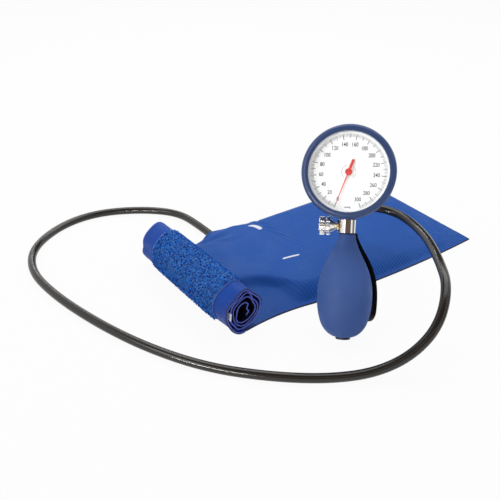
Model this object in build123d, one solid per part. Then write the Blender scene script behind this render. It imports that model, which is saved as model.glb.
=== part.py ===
from build123d import *
import os
from math import acos, atan2, cos, degrees, hypot, pi, radians, sin, sqrt, tan

# A palm-held aneroid blood pressure set: a dial gauge on a squeeze bulb, a hose and a
# half-rolled cuff. Lengths are millimetres, angles degrees. The origin lies on the table
# under the middle of the flat cuff, +X to the right, +Y away from the reader of the dial, +Z up.

# Where the instrument stands: it leans back on the rim of the bulb's end valve
STAND_X = 1.2
STAND_Y = -155.8
YAW = -13.0
LEAN = 27.5
SIDE_TILT = -4.25

# Heights along the instrument's own axis, from the bulb's end face
FLANGE_R = 5.8
FLANGE_T = 1.6
NECK_TOP = 82.5
BLOCK_LOW = 83.3
BLOCK_TOP = 94.1
PORT_Z = 88.6
HUB_Z = 130.0

# Gauge
CASE_R = 35.6
CASE_WALL = 1.5
CASE_BACK = -14.0
BEZEL_FRONT = 19.5
BEZEL_OPENING_R = 30.5
DIAL_R = 33.4
DIAL_BACK = 11.4
DIAL_T = 0.6
LENS_R = 33.0
LENS_BACK = 16.0
LENS_T = 1.5
SEAT_R = 33.6
POINTER_REACH = 28.0
POINTER_TAIL = 10.2

# Gauge movement: a sector of a 120-tooth wheel drives a 10-tooth pinion
MODULE = 0.3
SECTOR_TEETH = 120
PINION_TEETH = 10
SECTOR_SWEEP = 320.0 * PINION_TEETH / SECTOR_TEETH
SECTOR_ANGLE = -15.5
TOOTH_T = 0.40
ARBOR_R = 0.45
STAFF_R = 0.5
PIVOT_GAP = 0.03
REAR_PLATE = 3.6
FRONT_PLATE = 9.2
PLATE_T = 1.0
ROCKER_Y = -5.5
ROCKER_W = 0.9
ROCKER_R = 0.6
POST_TRAVEL = 1.25
CAPSULE_R = 19.0
CAPSULE_MID = -6.4

# Connector block and release valve
BLOCK_R = 6.8
SPIGOT_R = 4.1
AIRWAY_R = 1.5
SPINDLE_R = 1.5
BUSH_R = 2.6
BUSH_HEAD_R = 5.0
BUSH_HEAD = 6.4
BUSH_FACE = 7.6
KNOB_R = 7.3
KNOB_NEAR = 13.0
KNOB_INNER_T = 3.3
KNOB_OUTER_T = 4.3
KNOB_GROOVE = 1.0
KNOB_FLUTES = 8
NOZZLE_ANGLE = 93.0
NOZZLE_FLANGE = 8.0

# Hand spoon
SPOON_T = 2.2
SPOON_ANGLE = 40.0
SPOON_SPREAD = 56.0

# Hose
HOSE_R = 3.8
HOSE_BORE_R = 2.1
HOSE_STRAIGHT = 24.0

# Cuff: a strip of two cloths, flat on the right and rolled up on the left
CLOTH_T = 1.0
CLOTH_GAP = 0.15
CUFF_W = 137.0
ROLL_X = -76.2
ROLL_Y = -144.4
ROLL_HEADING = 36.4
ROLL_HALF_W = 17.9
ROLL_HALF_H = 20.8
ROLL_SHRINK = 0.85
ROLL_QUARTERS = 10
ROLL_END_RATIO = 0.8
PATCH_T = 1.2
PATCH_START = 16.0
PATCH_END = 117.0
HEM = 6.0

INSTRUMENT_TILT = degrees(acos(cos(radians(LEAN)) * cos(radians(SIDE_TILT))))
STAND_Z = FLANGE_R * sin(radians(INSTRUMENT_TILT))
INSTRUMENT = (
    Pos(STAND_X, STAND_Y, STAND_Z)
    * Rot(0, 0, YAW)
    * Rot(-LEAN, 0, 0)
    * Rot(0, SIDE_TILT, 0)
)
# The gauge's own frame: its +Z is the dial's outward normal, +Y the top of the dial
GAUGE = INSTRUMENT * Pos(0, 0, HUB_Z) * Rot(90, 0, 0)


def turned(points):
    """A solid turned about Z from a closed outline of (radius, height) points."""
    outline = make_face(Polyline(*points, close=True))
    return revolve(Plane.XZ * outline, Axis.Z)


def turned_edges(edges, sweep=360.0):
    """A solid turned about Z from closed edges drawn as (radius, height)."""
    return revolve(Plane.XZ * make_face(edges), Axis.Z, revolution_arc=sweep)


def rod(radius, low, high, x=0.0, y=0.0):
    """A cylinder along Z between two heights."""
    return Pos(x, y, (low + high) / 2) * Cylinder(radius, high - low)


def ring(outer, inner, low, high, x=0.0, y=0.0):
    """A washer or tube along Z between two heights."""
    return rod(outer, low, high, x, y) - rod(inner, low - 1, high + 1, x, y)


def slab(x0, x1, y0, y1, z0, z1):
    """A box between two corners."""
    return Pos((x0 + x1) / 2, (y0 + y1) / 2, (z0 + z1) / 2) * Box(x1 - x0, y1 - y0, z1 - z0)


def polar(radius, angle):
    """A point in the XY plane at a radius and an angle in degrees."""
    return radius * cos(radians(angle)), radius * sin(radians(angle))


def spots(count, radius, first):
    """Evenly spaced points on a circle."""
    return [polar(radius, first + 360.0 * i / count) for i in range(count)]


# Gauge case and front

def gauge_case():
    """The cup that holds the movement, with the boss that the connector enters."""
    inner = CASE_R - CASE_WALL - 1.5
    edge = 6.0
    inner_edge = 4.5
    floor = CASE_BACK + CASE_WALL
    turn = sin(radians(45))
    outline = [
        Line((0, CASE_BACK), (CASE_R - edge, CASE_BACK)),
        ThreePointArc(
            (CASE_R - edge, CASE_BACK),
            (CASE_R - edge + edge * turn, CASE_BACK + edge - edge * turn),
            (CASE_R, CASE_BACK + edge),
        ),
        Polyline(
            (CASE_R, CASE_BACK + edge),
            (CASE_R, 8.5),
            (34.6, 8.5),
            (34.6, 13.0),
            (SEAT_R, 13.0),
            (SEAT_R, DIAL_BACK),
            (inner, DIAL_BACK),
            (inner, floor + inner_edge),
        ),
        ThreePointArc(
            (inner, floor + inner_edge),
            (inner - inner_edge + inner_edge * turn, floor + inner_edge - inner_edge * turn),
            (inner - inner_edge, floor),
        ),
        Polyline((inner - inner_edge, floor), (0, floor), (0, CASE_BACK)),
    ]
    cup = turned_edges(outline)
    boss_low = BLOCK_TOP - HUB_Z + 0.03
    boss = Pos(0, (boss_low - 31.3) / 2, 0) * Rot(90, 0, 0) * Cylinder(7.0, -31.3 - boss_low)
    bore = Pos(0, -34, 0) * Rot(90, 0, 0) * Cylinder(3.6, 8)
    case = cup + boss - bore
    for x, y in spots(3, 23.5, 90):
        case -= rod(1.1, CASE_BACK - 1, floor + 1, x, y)
        case -= rod(2.3, CASE_BACK - 1, CASE_BACK + 0.7, x, y)
    return case


def bezel_ring():
    """The rounded ring that closes the front of the case."""
    outline = [
        Polyline((CASE_R, 8.6), (CASE_R, 16.2)),
        ThreePointArc((CASE_R, 16.2), (34.5, 18.6), (32.5, BEZEL_FRONT)),
        Polyline(
            (32.5, BEZEL_FRONT),
            (BEZEL_OPENING_R + 0.4, BEZEL_FRONT - 0.15),
            (BEZEL_OPENING_R, BEZEL_FRONT - 0.7),
            (BEZEL_OPENING_R, LENS_BACK + LENS_T),
            (LENS_R + 0.1, LENS_BACK + LENS_T),
            (LENS_R + 0.1, 13.1),
            (34.7, 13.1),
            (34.7, 8.6),
            (CASE_R, 8.6),
        ),
    ]
    return turned_edges(outline)


def lens():
    """The clear window."""
    return rod(LENS_R, LENS_BACK, LENS_BACK + LENS_T - 0.02)


def lens_spacer_ring():
    """The bright ring that keeps the window off the dial."""
    low = DIAL_BACK + DIAL_T + 0.02
    return ring(LENS_R - 0.05, 29.9, low, LENS_BACK - 0.02)


def dial():
    """The white dial plate with its centre hole."""
    return ring(DIAL_R, 1.6, DIAL_BACK, DIAL_BACK + DIAL_T)


def pointer():
    """A slim pointer with a thick rounded tail and a hub disc, at zero."""
    low = 14.0
    high = 14.5
    needle = make_face(Polyline((0, -0.55), (POINTER_REACH, -0.12), (POINTER_REACH, 0.12), (0, 0.55), close=True))
    tail = Pos(-POINTER_TAIL / 2 + 0.5, 0) * Rectangle(POINTER_TAIL - 1.0, 2.0)
    tail += Pos(-POINTER_TAIL + 1.0, 0) * Circle(1.0)
    blade = extrude(needle + tail + Circle(2.6), high - low)
    body = Pos(0, 0, low) * blade + rod(1.2, 13.0, 15.0)
    body -= rod(ARBOR_R, 12.0, 14.6)
    # zero lies 160 degrees anticlockwise of the top of the dial
    return Rot(0, 0, 90 + 160) * body


# Gauge movement

def involute_turn(radius, base):
    """How far an involute has turned at a radius, in degrees."""
    if radius <= base:
        return 0.0
    pressure = acos(base / radius)
    return degrees(tan(pressure) - pressure)


def gear_outline(teeth, centres, root, tip):
    """Points along involute teeth at the given centre angles, anticlockwise."""
    pitch = MODULE * teeth / 2
    base = pitch * cos(radians(20))
    half = degrees(TOOTH_T / 2 / pitch)
    at_pitch = involute_turn(pitch, base)
    levels = [root] + [r for r in (base, pitch) if r > root] + [tip]
    points = []
    for centre in centres:
        flank = [(r, half + at_pitch - involute_turn(r, base)) for r in levels]
        points += [polar(r, centre - a) for r, a in flank]
        points += [polar(r, centre + a) for r, a in reversed(flank)]
    return points


def pinion_arbor():
    """The pointer's shaft with its ten-leaf pinion and the hairspring's collet."""
    mesh = SECTOR_ANGLE
    centres = [mesh + 360.0 * i / PINION_TEETH for i in range(PINION_TEETH)]
    pitch = MODULE * PINION_TEETH / 2
    leaves = gear_outline(PINION_TEETH, centres, pitch - 0.42, pitch + 0.26)
    pinion = extrude(make_face(Polyline(*leaves, close=True)), 2.2)
    shaft = rod(ARBOR_R, REAR_PLATE + 0.1, 14.55)
    collet = rod(1.1, 4.9, 5.6)
    return shaft + collet + Pos(0, 0, 6.2) * pinion


def hairspring():
    """A flat spiral strip from the collet to its stud."""
    start = 1.12
    end = 6.0
    turns = 3.5
    strip = 0.12
    steps = 28

    def at(i, out):
        angle = 360.0 * turns * i / steps
        return polar(start + (end - start) * i / steps + out, angle)

    inner = Spline(*[at(i, 0) for i in range(steps + 1)])
    outer = Spline(*[at(i, strip) for i in range(steps + 1)])
    ends = [Line(inner @ 0, outer @ 0), Line(inner @ 1, outer @ 1)]
    return Pos(0, 0, 5.0) * extrude(make_face([inner, outer] + ends), 0.5)


def hairspring_stud():
    """The small block on the rear plate that holds the hairspring's outer end."""
    return slab(-7.2, -6.2, -0.6, 0.6, REAR_PLATE + PLATE_T, 5.8)


def sector_gear():
    """The toothed sector, its staff and the pin that the rocker pushes."""
    facing = 180 + SECTOR_ANGLE
    step = 360.0 / SECTOR_TEETH
    pitch = MODULE * SECTOR_TEETH / 2
    first = facing + 1.5 * step
    centres = [first - step * i for i in range(13)][::-1]
    teeth = gear_outline(SECTOR_TEETH, centres, pitch - 0.40, pitch + 0.26)
    rim_in = 15.6
    close = [polar(rim_in, centres[-1] + 2), polar(rim_in, (centres[0] + centres[-1]) / 2)]
    close += [polar(rim_in, centres[0] - 2)]
    start = [polar(pitch - 0.40, centres[0] - 2)]
    finish = [polar(pitch - 0.40, centres[-1] + 2)]
    rim = make_face(Polyline(*(start + teeth + finish + close), close=True))
    middle = (centres[0] + centres[-1]) / 2
    spoke = Rot(0, 0, middle) * Pos(8.5, 0) * Rectangle(15.0, 2.6)
    plate = extrude(rim + spoke + Circle(3.4), 0.8)
    staff = rod(STAFF_R, REAR_PLATE + 0.1, FRONT_PLATE + PLATE_T)
    pin = rod(0.4, 5.2, 7.0, x=-2.79)
    body = Pos(0, 0, 6.8) * plate + staff + pin
    centre = polar(MODULE * (SECTOR_TEETH + PINION_TEETH) / 2, SECTOR_ANGLE)
    return Pos(centre[0], centre[1], 0) * body


def sector_pivot():
    """Where the sector's staff stands, in the gauge's frame."""
    return polar(MODULE * (SECTOR_TEETH + PINION_TEETH) / 2, SECTOR_ANGLE)


def plate_holes(low, high):
    """The two pivot holes through a movement plate."""
    x, y = sector_pivot()
    return rod(ARBOR_R + PIVOT_GAP, low, high) + rod(STAFF_R + PIVOT_GAP, low, high, x, y)


def movement_rear_plate():
    """The plate on the case posts, with windows and the rocker's two lugs."""
    low = REAR_PLATE
    high = REAR_PLATE + PLATE_T
    plate = rod(26.0, low, high)
    plate -= slab(14.2, 17.8, -8.2, -2.4, low - 1, high + 1)
    plate -= slab(-6.2, 6.2, -30.0, -24.5, low - 1, high + 1)
    for angle in (125, 235):
        x, y = polar(15, angle)
        plate -= rod(5.0, low - 1, high + 1, x, y)
    for x in (-4.0, 19.1):
        lug = slab(x - 0.5, x + 0.5, ROCKER_Y - 1.5, ROCKER_Y + 1.5, ROCKER_W - 1.6, low + 0.5)
        plate += lug
    plate -= Pos(7.5, ROCKER_Y, ROCKER_W) * Rot(0, 90, 0) * Cylinder(ROCKER_R + PIVOT_GAP, 40)
    for x, y in spots(3, 23.5, 90):
        plate -= rod(0.8, low - 1, high + 1, x, y)
    return plate - plate_holes(low - 1, high + 1)


def movement_front_plate():
    """The front plate over the gears."""
    low = FRONT_PLATE
    high = FRONT_PLATE + PLATE_T
    plate = rod(22.0, low, high)
    for angle in (0, 120, 240):
        x, y = polar(15, angle)
        plate -= rod(3.2, low - 1, high + 1, x, y) if angle else rod(0.01, high + 2, high + 3)
    for x, y in spots(3, 19.0, 60):
        plate -= rod(0.85, low - 1, high + 1, x, y)
    return plate - plate_holes(low - 1, high + 1)


def movement_pillars():
    """Three pillars that space the plates."""
    low = REAR_PLATE + PLATE_T
    return [ring(2.0, 0.8, low, FRONT_PLATE, x, y) for x, y in spots(3, 19.0, 60)]


def plate_screws():
    """Three slotted screws on the front plate."""
    top = FRONT_PLATE + PLATE_T
    screws = []
    for x, y in spots(3, 19.0, 60):
        screw = rod(1.5, top, top + 0.8, x, y) + rod(0.75, 5.5, top + 0.1, x, y)
        slot = slab(x - 2, x + 2, y - 0.2, y + 0.2, top + 0.4, top + 1)
        screws.append(screw - slot)
    return screws


def rocker():
    """The rocking shaft with the arm over the capsule's post and the arm that drives the sector."""
    shaft = Pos(7.5, ROCKER_Y, ROCKER_W) * Rot(0, 90, 0) * Cylinder(ROCKER_R, 25.6)
    follower = slab(-0.8, 0.8, ROCKER_Y, 0.8, 0.3, 1.0)
    root = slab(15.4, 16.6, ROCKER_Y - 0.6, -3.9, 0.3, 1.5)
    arm = slab(15.4, 16.6, -4.7, -3.9, 0.9, 6.0)
    return shaft + follower + root + arm


def capsule():
    """Two corrugated diaphragms joined at their rims, closed and hollow."""
    skin = 0.3
    crest = 0.35
    wave = 4.6
    flat = 2.6
    depth = 2.3
    steps = 22

    def front(r):
        dish = depth * (1 - (r / CAPSULE_R) ** 4)
        out = max(0.0, r - flat)
        return dish + crest * sin(2 * pi * out / wave) * min(1, (CAPSULE_R - r) / 3)

    radii = [CAPSULE_R * i / steps for i in range(steps, -1, -1)]
    outer = Spline(*[(r, front(r)) for r in radii])
    inner = Spline(*[(r * (CAPSULE_R - 0.6) / CAPSULE_R, front(r) - skin) for r in radii])
    rim = 0.35
    shell = turned_edges([
        outer,
        Line(outer @ 1, inner @ 1),
        inner,
        Line(inner @ 0, outer @ 0),
    ])
    flange = ring(CAPSULE_R, CAPSULE_R - 1.2, -rim, rim)
    half = shell + flange
    whole = half + mirror(shell, Plane.XY)
    return Pos(0, 0, CAPSULE_MID) * whole


def capsule_stud():
    """The hollow stud that carries the capsule and feeds it."""
    low = -11.8
    high = CAPSULE_MID - 2.32
    return ring(2.0, 0.6, low, high)


def capsule_post():
    """The post on the capsule's front, which lifts the rocker."""
    low = CAPSULE_MID + 2.32
    return rod(1.5, low, -1.6) + rod(0.5, low, 0.2)


def inlet_manifold():
    """The brass piece that takes the connector's spigot and leads air to the capsule."""
    floor = CASE_BACK + CASE_WALL
    foot = slab(-5.5, 5.5, -31.1, -25.0, -9.0, 5.0)
    foot += slab(-5.5, 5.5, -27.1, -25.0, floor, 0.0)
    arm = slab(-4.0, 4.0, -27.0, 4.0, floor, -9.6)
    spigot_hole = Pos(0, -30.0, 0) * Rot(90, 0, 0) * Cylinder(3.55, 5.0)
    down = Pos(0, -27.9, 0) * Rot(90, 0, 0) * Cylinder(0.6, 3.0)
    back = rod(0.6, -11.2, 0.6, 0, -26.4)
    up = Pos(0, -12.9, -11.2) * Rot(90, 0, 0) * Cylinder(0.6, 27.0)
    seat = rod(2.02, -11.8, -9.0)
    return foot + arm - spigot_hole - down - back - up - seat


def case_posts():
    """Three posts between the case's back and the rear plate."""
    low = CASE_BACK + CASE_WALL
    return [ring(2.2, 0.9, low, REAR_PLATE, x, y) for x, y in spots(3, 23.5, 90)]


def case_screws():
    """Three slotted screws through the case's back into the posts."""
    screws = []
    for x, y in spots(3, 23.5, 90):
        screw = rod(2.0, CASE_BACK, CASE_BACK + 0.7, x, y) + rod(0.85, CASE_BACK, -7.0, x, y)
        slot = slab(x - 2.2, x + 2.2, y - 0.25, y + 0.25, CASE_BACK - 1, CASE_BACK + 0.35)
        screws.append(screw - slot)
    return screws


# Connector block and valves, in the instrument's frame

def along_x(radius, near, far, z=PORT_Z):
    """A cylinder on the release valve's axis, between two distances left of the middle."""
    return Pos(-(near + far) / 2, 0, z) * Rot(0, 90, 0) * Cylinder(radius, abs(far - near))


def nozzle_frame():
    """The nozzle's frame, with +Z pointing out of the block."""
    return Pos(0, 0, PORT_Z) * Rot(0, 0, NOZZLE_ANGLE) * Rot(0, 90, 0)


def connector_block():
    """The chrome block with its spigots, airway and two side ports."""
    block = rod(BLOCK_R, BLOCK_LOW, BLOCK_TOP)
    block = chamfer(block.edges().filter_by(GeomType.CIRCLE), 0.3)
    block += rod(3.5, BLOCK_TOP - 0.5, HUB_Z - 27.9)
    block += rod(SPIGOT_R - 0.1, 72.0, BLOCK_LOW + 0.5)
    block -= rod(AIRWAY_R, 79.0, 104.0)
    block -= rod(2.55, 71.0, 80.0)
    block -= along_x(BUSH_HEAD_R + 0.2, BUSH_HEAD - 0.05, 8.0)
    block -= along_x(BUSH_R, 2.2, 8.0)
    block -= along_x(0.8, 0.0, 3.0)
    port = rod(4.2, 6.0, 9.0) + rod(2.55, 2.4, 9.0) + rod(0.9, 0.0, 3.0)
    return block - nozzle_frame() * port


def hose_nozzle():
    """The barbed nozzle behind the block."""
    flange = rod(HOSE_R, 6.0, NOZZLE_FLANGE)
    screw = rod(2.5, 3.0, 6.5)
    stem = rod(1.7, NOZZLE_FLANGE - 0.5, 22.0)
    body = flange + screw + stem
    for z in (11.0, 15.0, 19.0):
        body += Pos(0, 0, z) * Cone(2.05, 1.7, 2.4)
    return nozzle_frame() * (body - rod(0.9, 2.0, 23.0))


def valve_bush():
    """The bright threaded bush that guides the spindle."""
    bush = along_x(BUSH_HEAD_R, BUSH_HEAD, BUSH_FACE) + along_x(BUSH_R - 0.03, 4.6, BUSH_HEAD + 0.5)
    return bush - along_x(SPINDLE_R + 0.04, 3.0, 9.0)


def gland_ring():
    """The rubber ring behind the bush."""
    return along_x(BUSH_R - 0.05, 3.5, 4.5) - along_x(SPINDLE_R + 0.04, 3.0, 5.0)


def release_spindle():
    """The screw that carries the knob; it turns on the seal's swivel."""
    return along_x(SPINDLE_R, 3.46, 19.0) + along_x(0.5, 2.9, 3.6)


def needle_seal():
    """The small cone that closes the air outlet; it travels without turning."""
    tip = Pos(-2.42, 0, PORT_Z) * Rot(0, 90, 0) * Cone(1.3, 0.45, 2.0)
    return tip - along_x(0.55, 2.8, 4.0)


def release_knob():
    """Two coarsely fluted discs and a tapered collar in one turned piece."""
    outer = KNOB_NEAR + KNOB_INNER_T + KNOB_GROOVE
    far = outer + KNOB_OUTER_T
    knob = along_x(5.2, KNOB_NEAR + 0.5, far - 0.5)
    for near, thick in ((KNOB_NEAR, KNOB_INNER_T), (outer, KNOB_OUTER_T)):
        disc = along_x(KNOB_R, near, near + thick)
        disc = chamfer(disc.edges().filter_by(GeomType.CIRCLE), 0.7)
        for i in range(KNOB_FLUTES):
            y, z = polar(KNOB_R + 0.55, 360.0 * (i + 0.5) / KNOB_FLUTES)
            flute = Pos(0, y, 0) * along_x(1.35, near - 1, near + thick + 1, PORT_Z + z)
            disc -= flute
        knob += disc
    collar = KNOB_NEAR + 0.6 - BUSH_FACE - 0.4
    knob += Pos(-BUSH_FACE - 0.4 - collar / 2, 0, PORT_Z) * Rot(0, 90, 0) * Cone(5.4, 2.3, collar)
    return knob - along_x(SPINDLE_R, 7.0, 19.05)


def outlet_valve_seat():
    """The seat pressed into the lower spigot."""
    return ring(2.5, 1.0, 72.2, 74.0)


def outlet_valve_disc():
    """The loose disc that lets air up and not back."""
    return rod(1.8, 74.02, 74.6)


def outlet_valve_stop():
    """A pierced plate that keeps the disc close to its seat."""
    plate = rod(2.5, 75.5, 76.3)
    for x, y in spots(4, 1.5, 45):
        plate -= rod(0.5, 75, 77, x, y)
    return plate


# Bulb and hand spoon

def bulb():
    """The pear-shaped rubber bulb with its neck and end opening."""
    outer = Spline(
        (5.6, FLANGE_T), (11.3, 3.8), (16.7, 9.7), (20.0, 18.9), (21.5, 31.5),
        (20.7, 44.5), (17.5, 55.5), (12.7, 65.5), (8.5, 74.5), (6.5, NECK_TOP),
    )
    inner = Spline(
        (SPIGOT_R, 73.2), (6.3, 71.8), (10.4, 64.4), (15.0, 54.7), (18.6, 44.0),
        (19.6, 32.0), (17.4, 19.8), (13.4, 12.4), (8.8, 9.2), (4.1, 8.6),
    )
    return turned_edges([
        outer,
        Polyline((6.5, NECK_TOP), (SPIGOT_R, NECK_TOP), (SPIGOT_R, 73.2)),
        inner,
        Polyline((4.1, 8.6), (4.1, FLANGE_T), (5.6, FLANGE_T)),
    ])


def inlet_valve_body():
    """The end valve's body, whose flange the instrument stands on."""
    body = rod(FLANGE_R, 0, FLANGE_T - 0.02) + rod(4.05, 0, 10.5)
    body -= rod(1.2, -1, 4)
    return body - rod(2.8, 3.0, 11.0)


def inlet_valve_disc():
    """The loose disc that lets air in and not out."""
    return rod(2.2, 3.03, 3.7)


def inlet_valve_cage():
    """A pierced plate over the disc."""
    plate = rod(2.78, 4.8, 5.8)
    for x, y in spots(4, 1.8, 0):
        plate -= rod(0.6, 4, 6, x, y)
    return plate


def hand_spoon():
    """The curved black blade for the palm, and its ring around the neck."""
    outline = Spline(
        (8.5, 81.6), (11.2, 74.8), (16.9, 65.2), (21.9, 55.0),
        (25.1, 43.0), (25.9, 33.0), (25.6, 22.0), (24.1, 12.6),
    )
    back = Spline(
        (22.0, 13.2), (23.4, 22.4), (23.7, 33.0), (23.0, 42.5),
        (19.8, 54.2), (15.1, 64.2), (9.7, 74.0), (7.4, 80.8),
    )
    blade = turned_edges(
        [outline, Line((24.1, 12.6), (22.0, 13.2)), back, Line((7.4, 80.8), (8.5, 81.6))],
        SPOON_SPREAD,
    )
    blade = Rot(0, 0, -SPOON_SPREAD / 2) * blade
    # the outline seen from outside, which rounds the tip and narrows towards the neck
    sides = Polyline((-12.6, 25), (12.6, 25), (12.6, 54), (2.9, 83), (-2.9, 83), (-12.6, 54), close=True)
    shadow = Pos(0, 25.0) * Circle(12.6) + make_face(sides)
    blade &= Plane((0, 0, 0), x_dir=(0, 1, 0), z_dir=(1, 0, 0)) * extrude(shadow, 40)
    band = ring(5.9, SPIGOT_R - 0.04, NECK_TOP + 0.08, BLOCK_LOW - 0.08)
    bridge = slab(5.0, 8.3, -2.9, 2.9, 80.6, BLOCK_LOW - 0.08) - rod(7.4, 70, NECK_TOP + 0.08)
    return Rot(0, 0, SPOON_ANGLE) * (blade + band + bridge)


# Cuff

ROLL_Q = Vector(cos(radians(ROLL_HEADING)), sin(radians(ROLL_HEADING)), 0)
ROLL_AXIS = Vector(-ROLL_Q.Y, ROLL_Q.X, 0)
ROLL_NEAR = Vector(ROLL_X, ROLL_Y, 0)
ROLL_FAR = ROLL_NEAR + ROLL_AXIS * CUFF_W
CORNER_NEAR = Vector(148.8, 3.6, 0)
CORNER_FAR = Vector(68.8, 132.6, 0)
NEAR_DIP = Vector(-52.0, -124.8, 0)
NEAR_JOIN = Vector(-17.0, -105.4, 0)
NEAR_BOW = Vector(58.0, -61.0, 0)
FAR_BOW = Vector(-38.9, 59.0, 0)
CLOTH_LOW = CLOTH_T + CLOTH_GAP
CLOTH_TOP = CLOTH_LOW + CLOTH_T

# How far along the flat cuff each rib of the pillow stands, and how high it is
PILLOW_RIBS = [(0.095, 6.5), (0.20, 11.5), (0.36, 14.0), (0.55, 12.0), (0.78, 9.0), (0.95, 4.2)]
BLADDER_RIBS = [(0.20, 8.6), (0.36, 11.0), (0.55, 9.2), (0.74, 6.4)]

HOSE_ENTRY = Vector(-111.1, 4.0, 5.4)
HOSE_INWARD = Vector(0.56, -0.8285, 0).normalized()
NECK_LENGTH = 13.0
MEETING_DEPTH = 9.0
MEETING = HOSE_ENTRY + HOSE_INWARD * MEETING_DEPTH

# The raised cloth over the hose's end: sideways position and height across it, and how
# much of that height it has at each distance in from the edge
HUMP_LINE = [(-12.0, 0.0), (-6.0, 6.8), (1.0, 9.6), (14.0, 10.4), (26.0, 7.4), (38.0, 0.0)]
HUMP_SHARE = [(-0.5, 0.30), (7.5, 1.0), (26.0, 1.0), (52.0, 0.6)]


def near_edge():
    """The cuff's front edge from the roll to the free corner."""
    first = ThreePointArc(ROLL_NEAR, NEAR_DIP, NEAR_JOIN)
    return Wire([first, ThreePointArc(NEAR_JOIN, NEAR_BOW, CORNER_NEAR)])


def far_edge():
    """The cuff's back edge from the roll to the free corner."""
    return Wire([ThreePointArc(ROLL_FAR, FAR_BOW, CORNER_FAR)])


def flat_sheet(low, high):
    """The flat part of one cloth."""
    outline = near_edge().edges() + far_edge().edges()
    outline += [Line(CORNER_NEAR, CORNER_FAR), Line(ROLL_FAR, ROLL_NEAR)]
    return Pos(0, 0, low) * extrude(make_face(outline), high - low)


def roll_arcs():
    """The roll's outer line as tangent arcs: centre, radius, first and last angle."""
    arcs = []
    heading = [270.0, 180.0, 90.0, 0.0]
    for k in range(ROLL_QUARTERS):
        flat_end, upright_end = (k, k + 1) if k % 2 == 0 else (k + 1, k)
        a = ROLL_HALF_W - ROLL_SHRINK * upright_end
        b = ROLL_HALF_H - ROLL_SHRINK * flat_end
        small = a * ROLL_END_RATIO
        large = (a * a + b * b - 2 * b * small) / (2 * (a - small))
        side = -1 if heading[upright_end % 4] == 180.0 else 1
        rise = -1 if heading[flat_end % 4] == 270.0 else 1
        small_centre = (0.0, ROLL_HALF_H + rise * (b - small))
        large_centre = (side * (a - large), ROLL_HALF_H)
        joint = degrees(
            atan2(small_centre[1] - large_centre[1], small_centre[0] - large_centre[0])
        ) % 360
        start = heading[k % 4] + (360 if heading[k % 4] == 0 and k % 2 else 0)
        end = start - 90
        while joint > start + 1e-6:
            joint -= 360
        while joint < end - 1e-6:
            joint += 360
        if k % 2 == 0:
            arcs.append((small_centre, small, start, joint))
            arcs.append((large_centre, large, joint, end))
        else:
            arcs.append((large_centre, large, start, joint))
            arcs.append((small_centre, small, joint, end))
    return arcs


def arc_chain(arcs, inset):
    """The arcs moved towards the roll's middle."""
    return [CenterArc(c, r - inset, first, last - first) for c, r, first, last in arcs]


def rolled_strip(arcs, outside, inside, lead=0.0):
    """A strip along the arcs between two insets, extruded from the roll's near end."""
    outer = arc_chain(arcs, outside)
    inner = arc_chain(arcs, inside)
    edges = outer + inner + [Line(outer[-1] @ 1, inner[-1] @ 1)]
    if lead:
        edges.append(
            Polyline(outer[0] @ 0, (lead, outside), (lead, inside), inner[0] @ 0)
        )
    else:
        edges.append(Line(outer[0] @ 0, inner[0] @ 0))
    return make_face(edges)


def in_roll(face, start, end):
    """A face drawn across the roll, extruded between two distances from its near end."""
    plane = Plane(ROLL_NEAR + ROLL_AXIS * start, x_dir=ROLL_Q, z_dir=-ROLL_AXIS)
    return extrude(plane * face, -(end - start))


def pillow(margin, drop, low, ribs):
    """A crowned body between the cloths: margin from the edges, drop below the outer crown."""
    near = near_edge()
    far = far_edge()
    sections = []
    for s, height in ribs:
        a = near @ s
        b = far @ s
        across = (b - a).normalized()
        width = (b - a).length
        top = height - drop
        side = max(low + 0.3, CLOTH_LOW + (height - CLOTH_LOW) * 0.25 - drop)
        shoulder = max(low + 0.6, CLOTH_LOW + (height - CLOTH_LOW) * 0.86 - drop)
        plane = Plane(a, x_dir=across, z_dir=across.cross(Vector(0, 0, 1)))
        front = margin
        back = width - margin
        outline = [
            Polyline((front, side), (front, low), (back, low), (back, side)),
            ThreePointArc((back, side), (back - 11, (side + shoulder) / 2 + 0.9), (back - 26, shoulder)),
            ThreePointArc((back - 26, shoulder), (width * 0.5, top), (front + 20, shoulder)),
            ThreePointArc((front + 20, shoulder), (front + 8, (side + shoulder) / 2 + 0.9), (front, side)),
        ]
        sections.append(plane * make_face(outline))
    return loft(sections)


def hose_way(radius, back, forward):
    """A cylinder on the hose's line through the cuff's back edge."""
    start = HOSE_ENTRY - HOSE_INWARD * back
    plane = Plane(start, z_dir=HOSE_INWARD)
    return plane * Pos(0, 0, (back + forward) / 2) * Cylinder(radius, back + forward)


def hump():
    """The raised cloth over the hose's end, from the cuff's edge to inside the pillow."""
    sideways = -HOSE_INWARD.cross(Vector(0, 0, 1))
    sections = []
    for forward, share in HUMP_SHARE:
        foot = HOSE_ENTRY + HOSE_INWARD * forward - Vector(0, 0, HOSE_ENTRY.Z - CLOTH_LOW)
        line = [foot + sideways * t + Vector(0, 0, h * share) for t, h in HUMP_LINE]
        sections.append(make_face([Spline(*line), Line(line[-1], line[0])]))
    return loft(sections)


def cuff_outer_cloth():
    """The cloth on the table, which goes round as the roll's outer face."""
    strip = in_roll(rolled_strip(roll_arcs(), 0, CLOTH_T, lead=2.0), 0, CUFF_W)
    return flat_sheet(0, CLOTH_T) + strip


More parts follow.
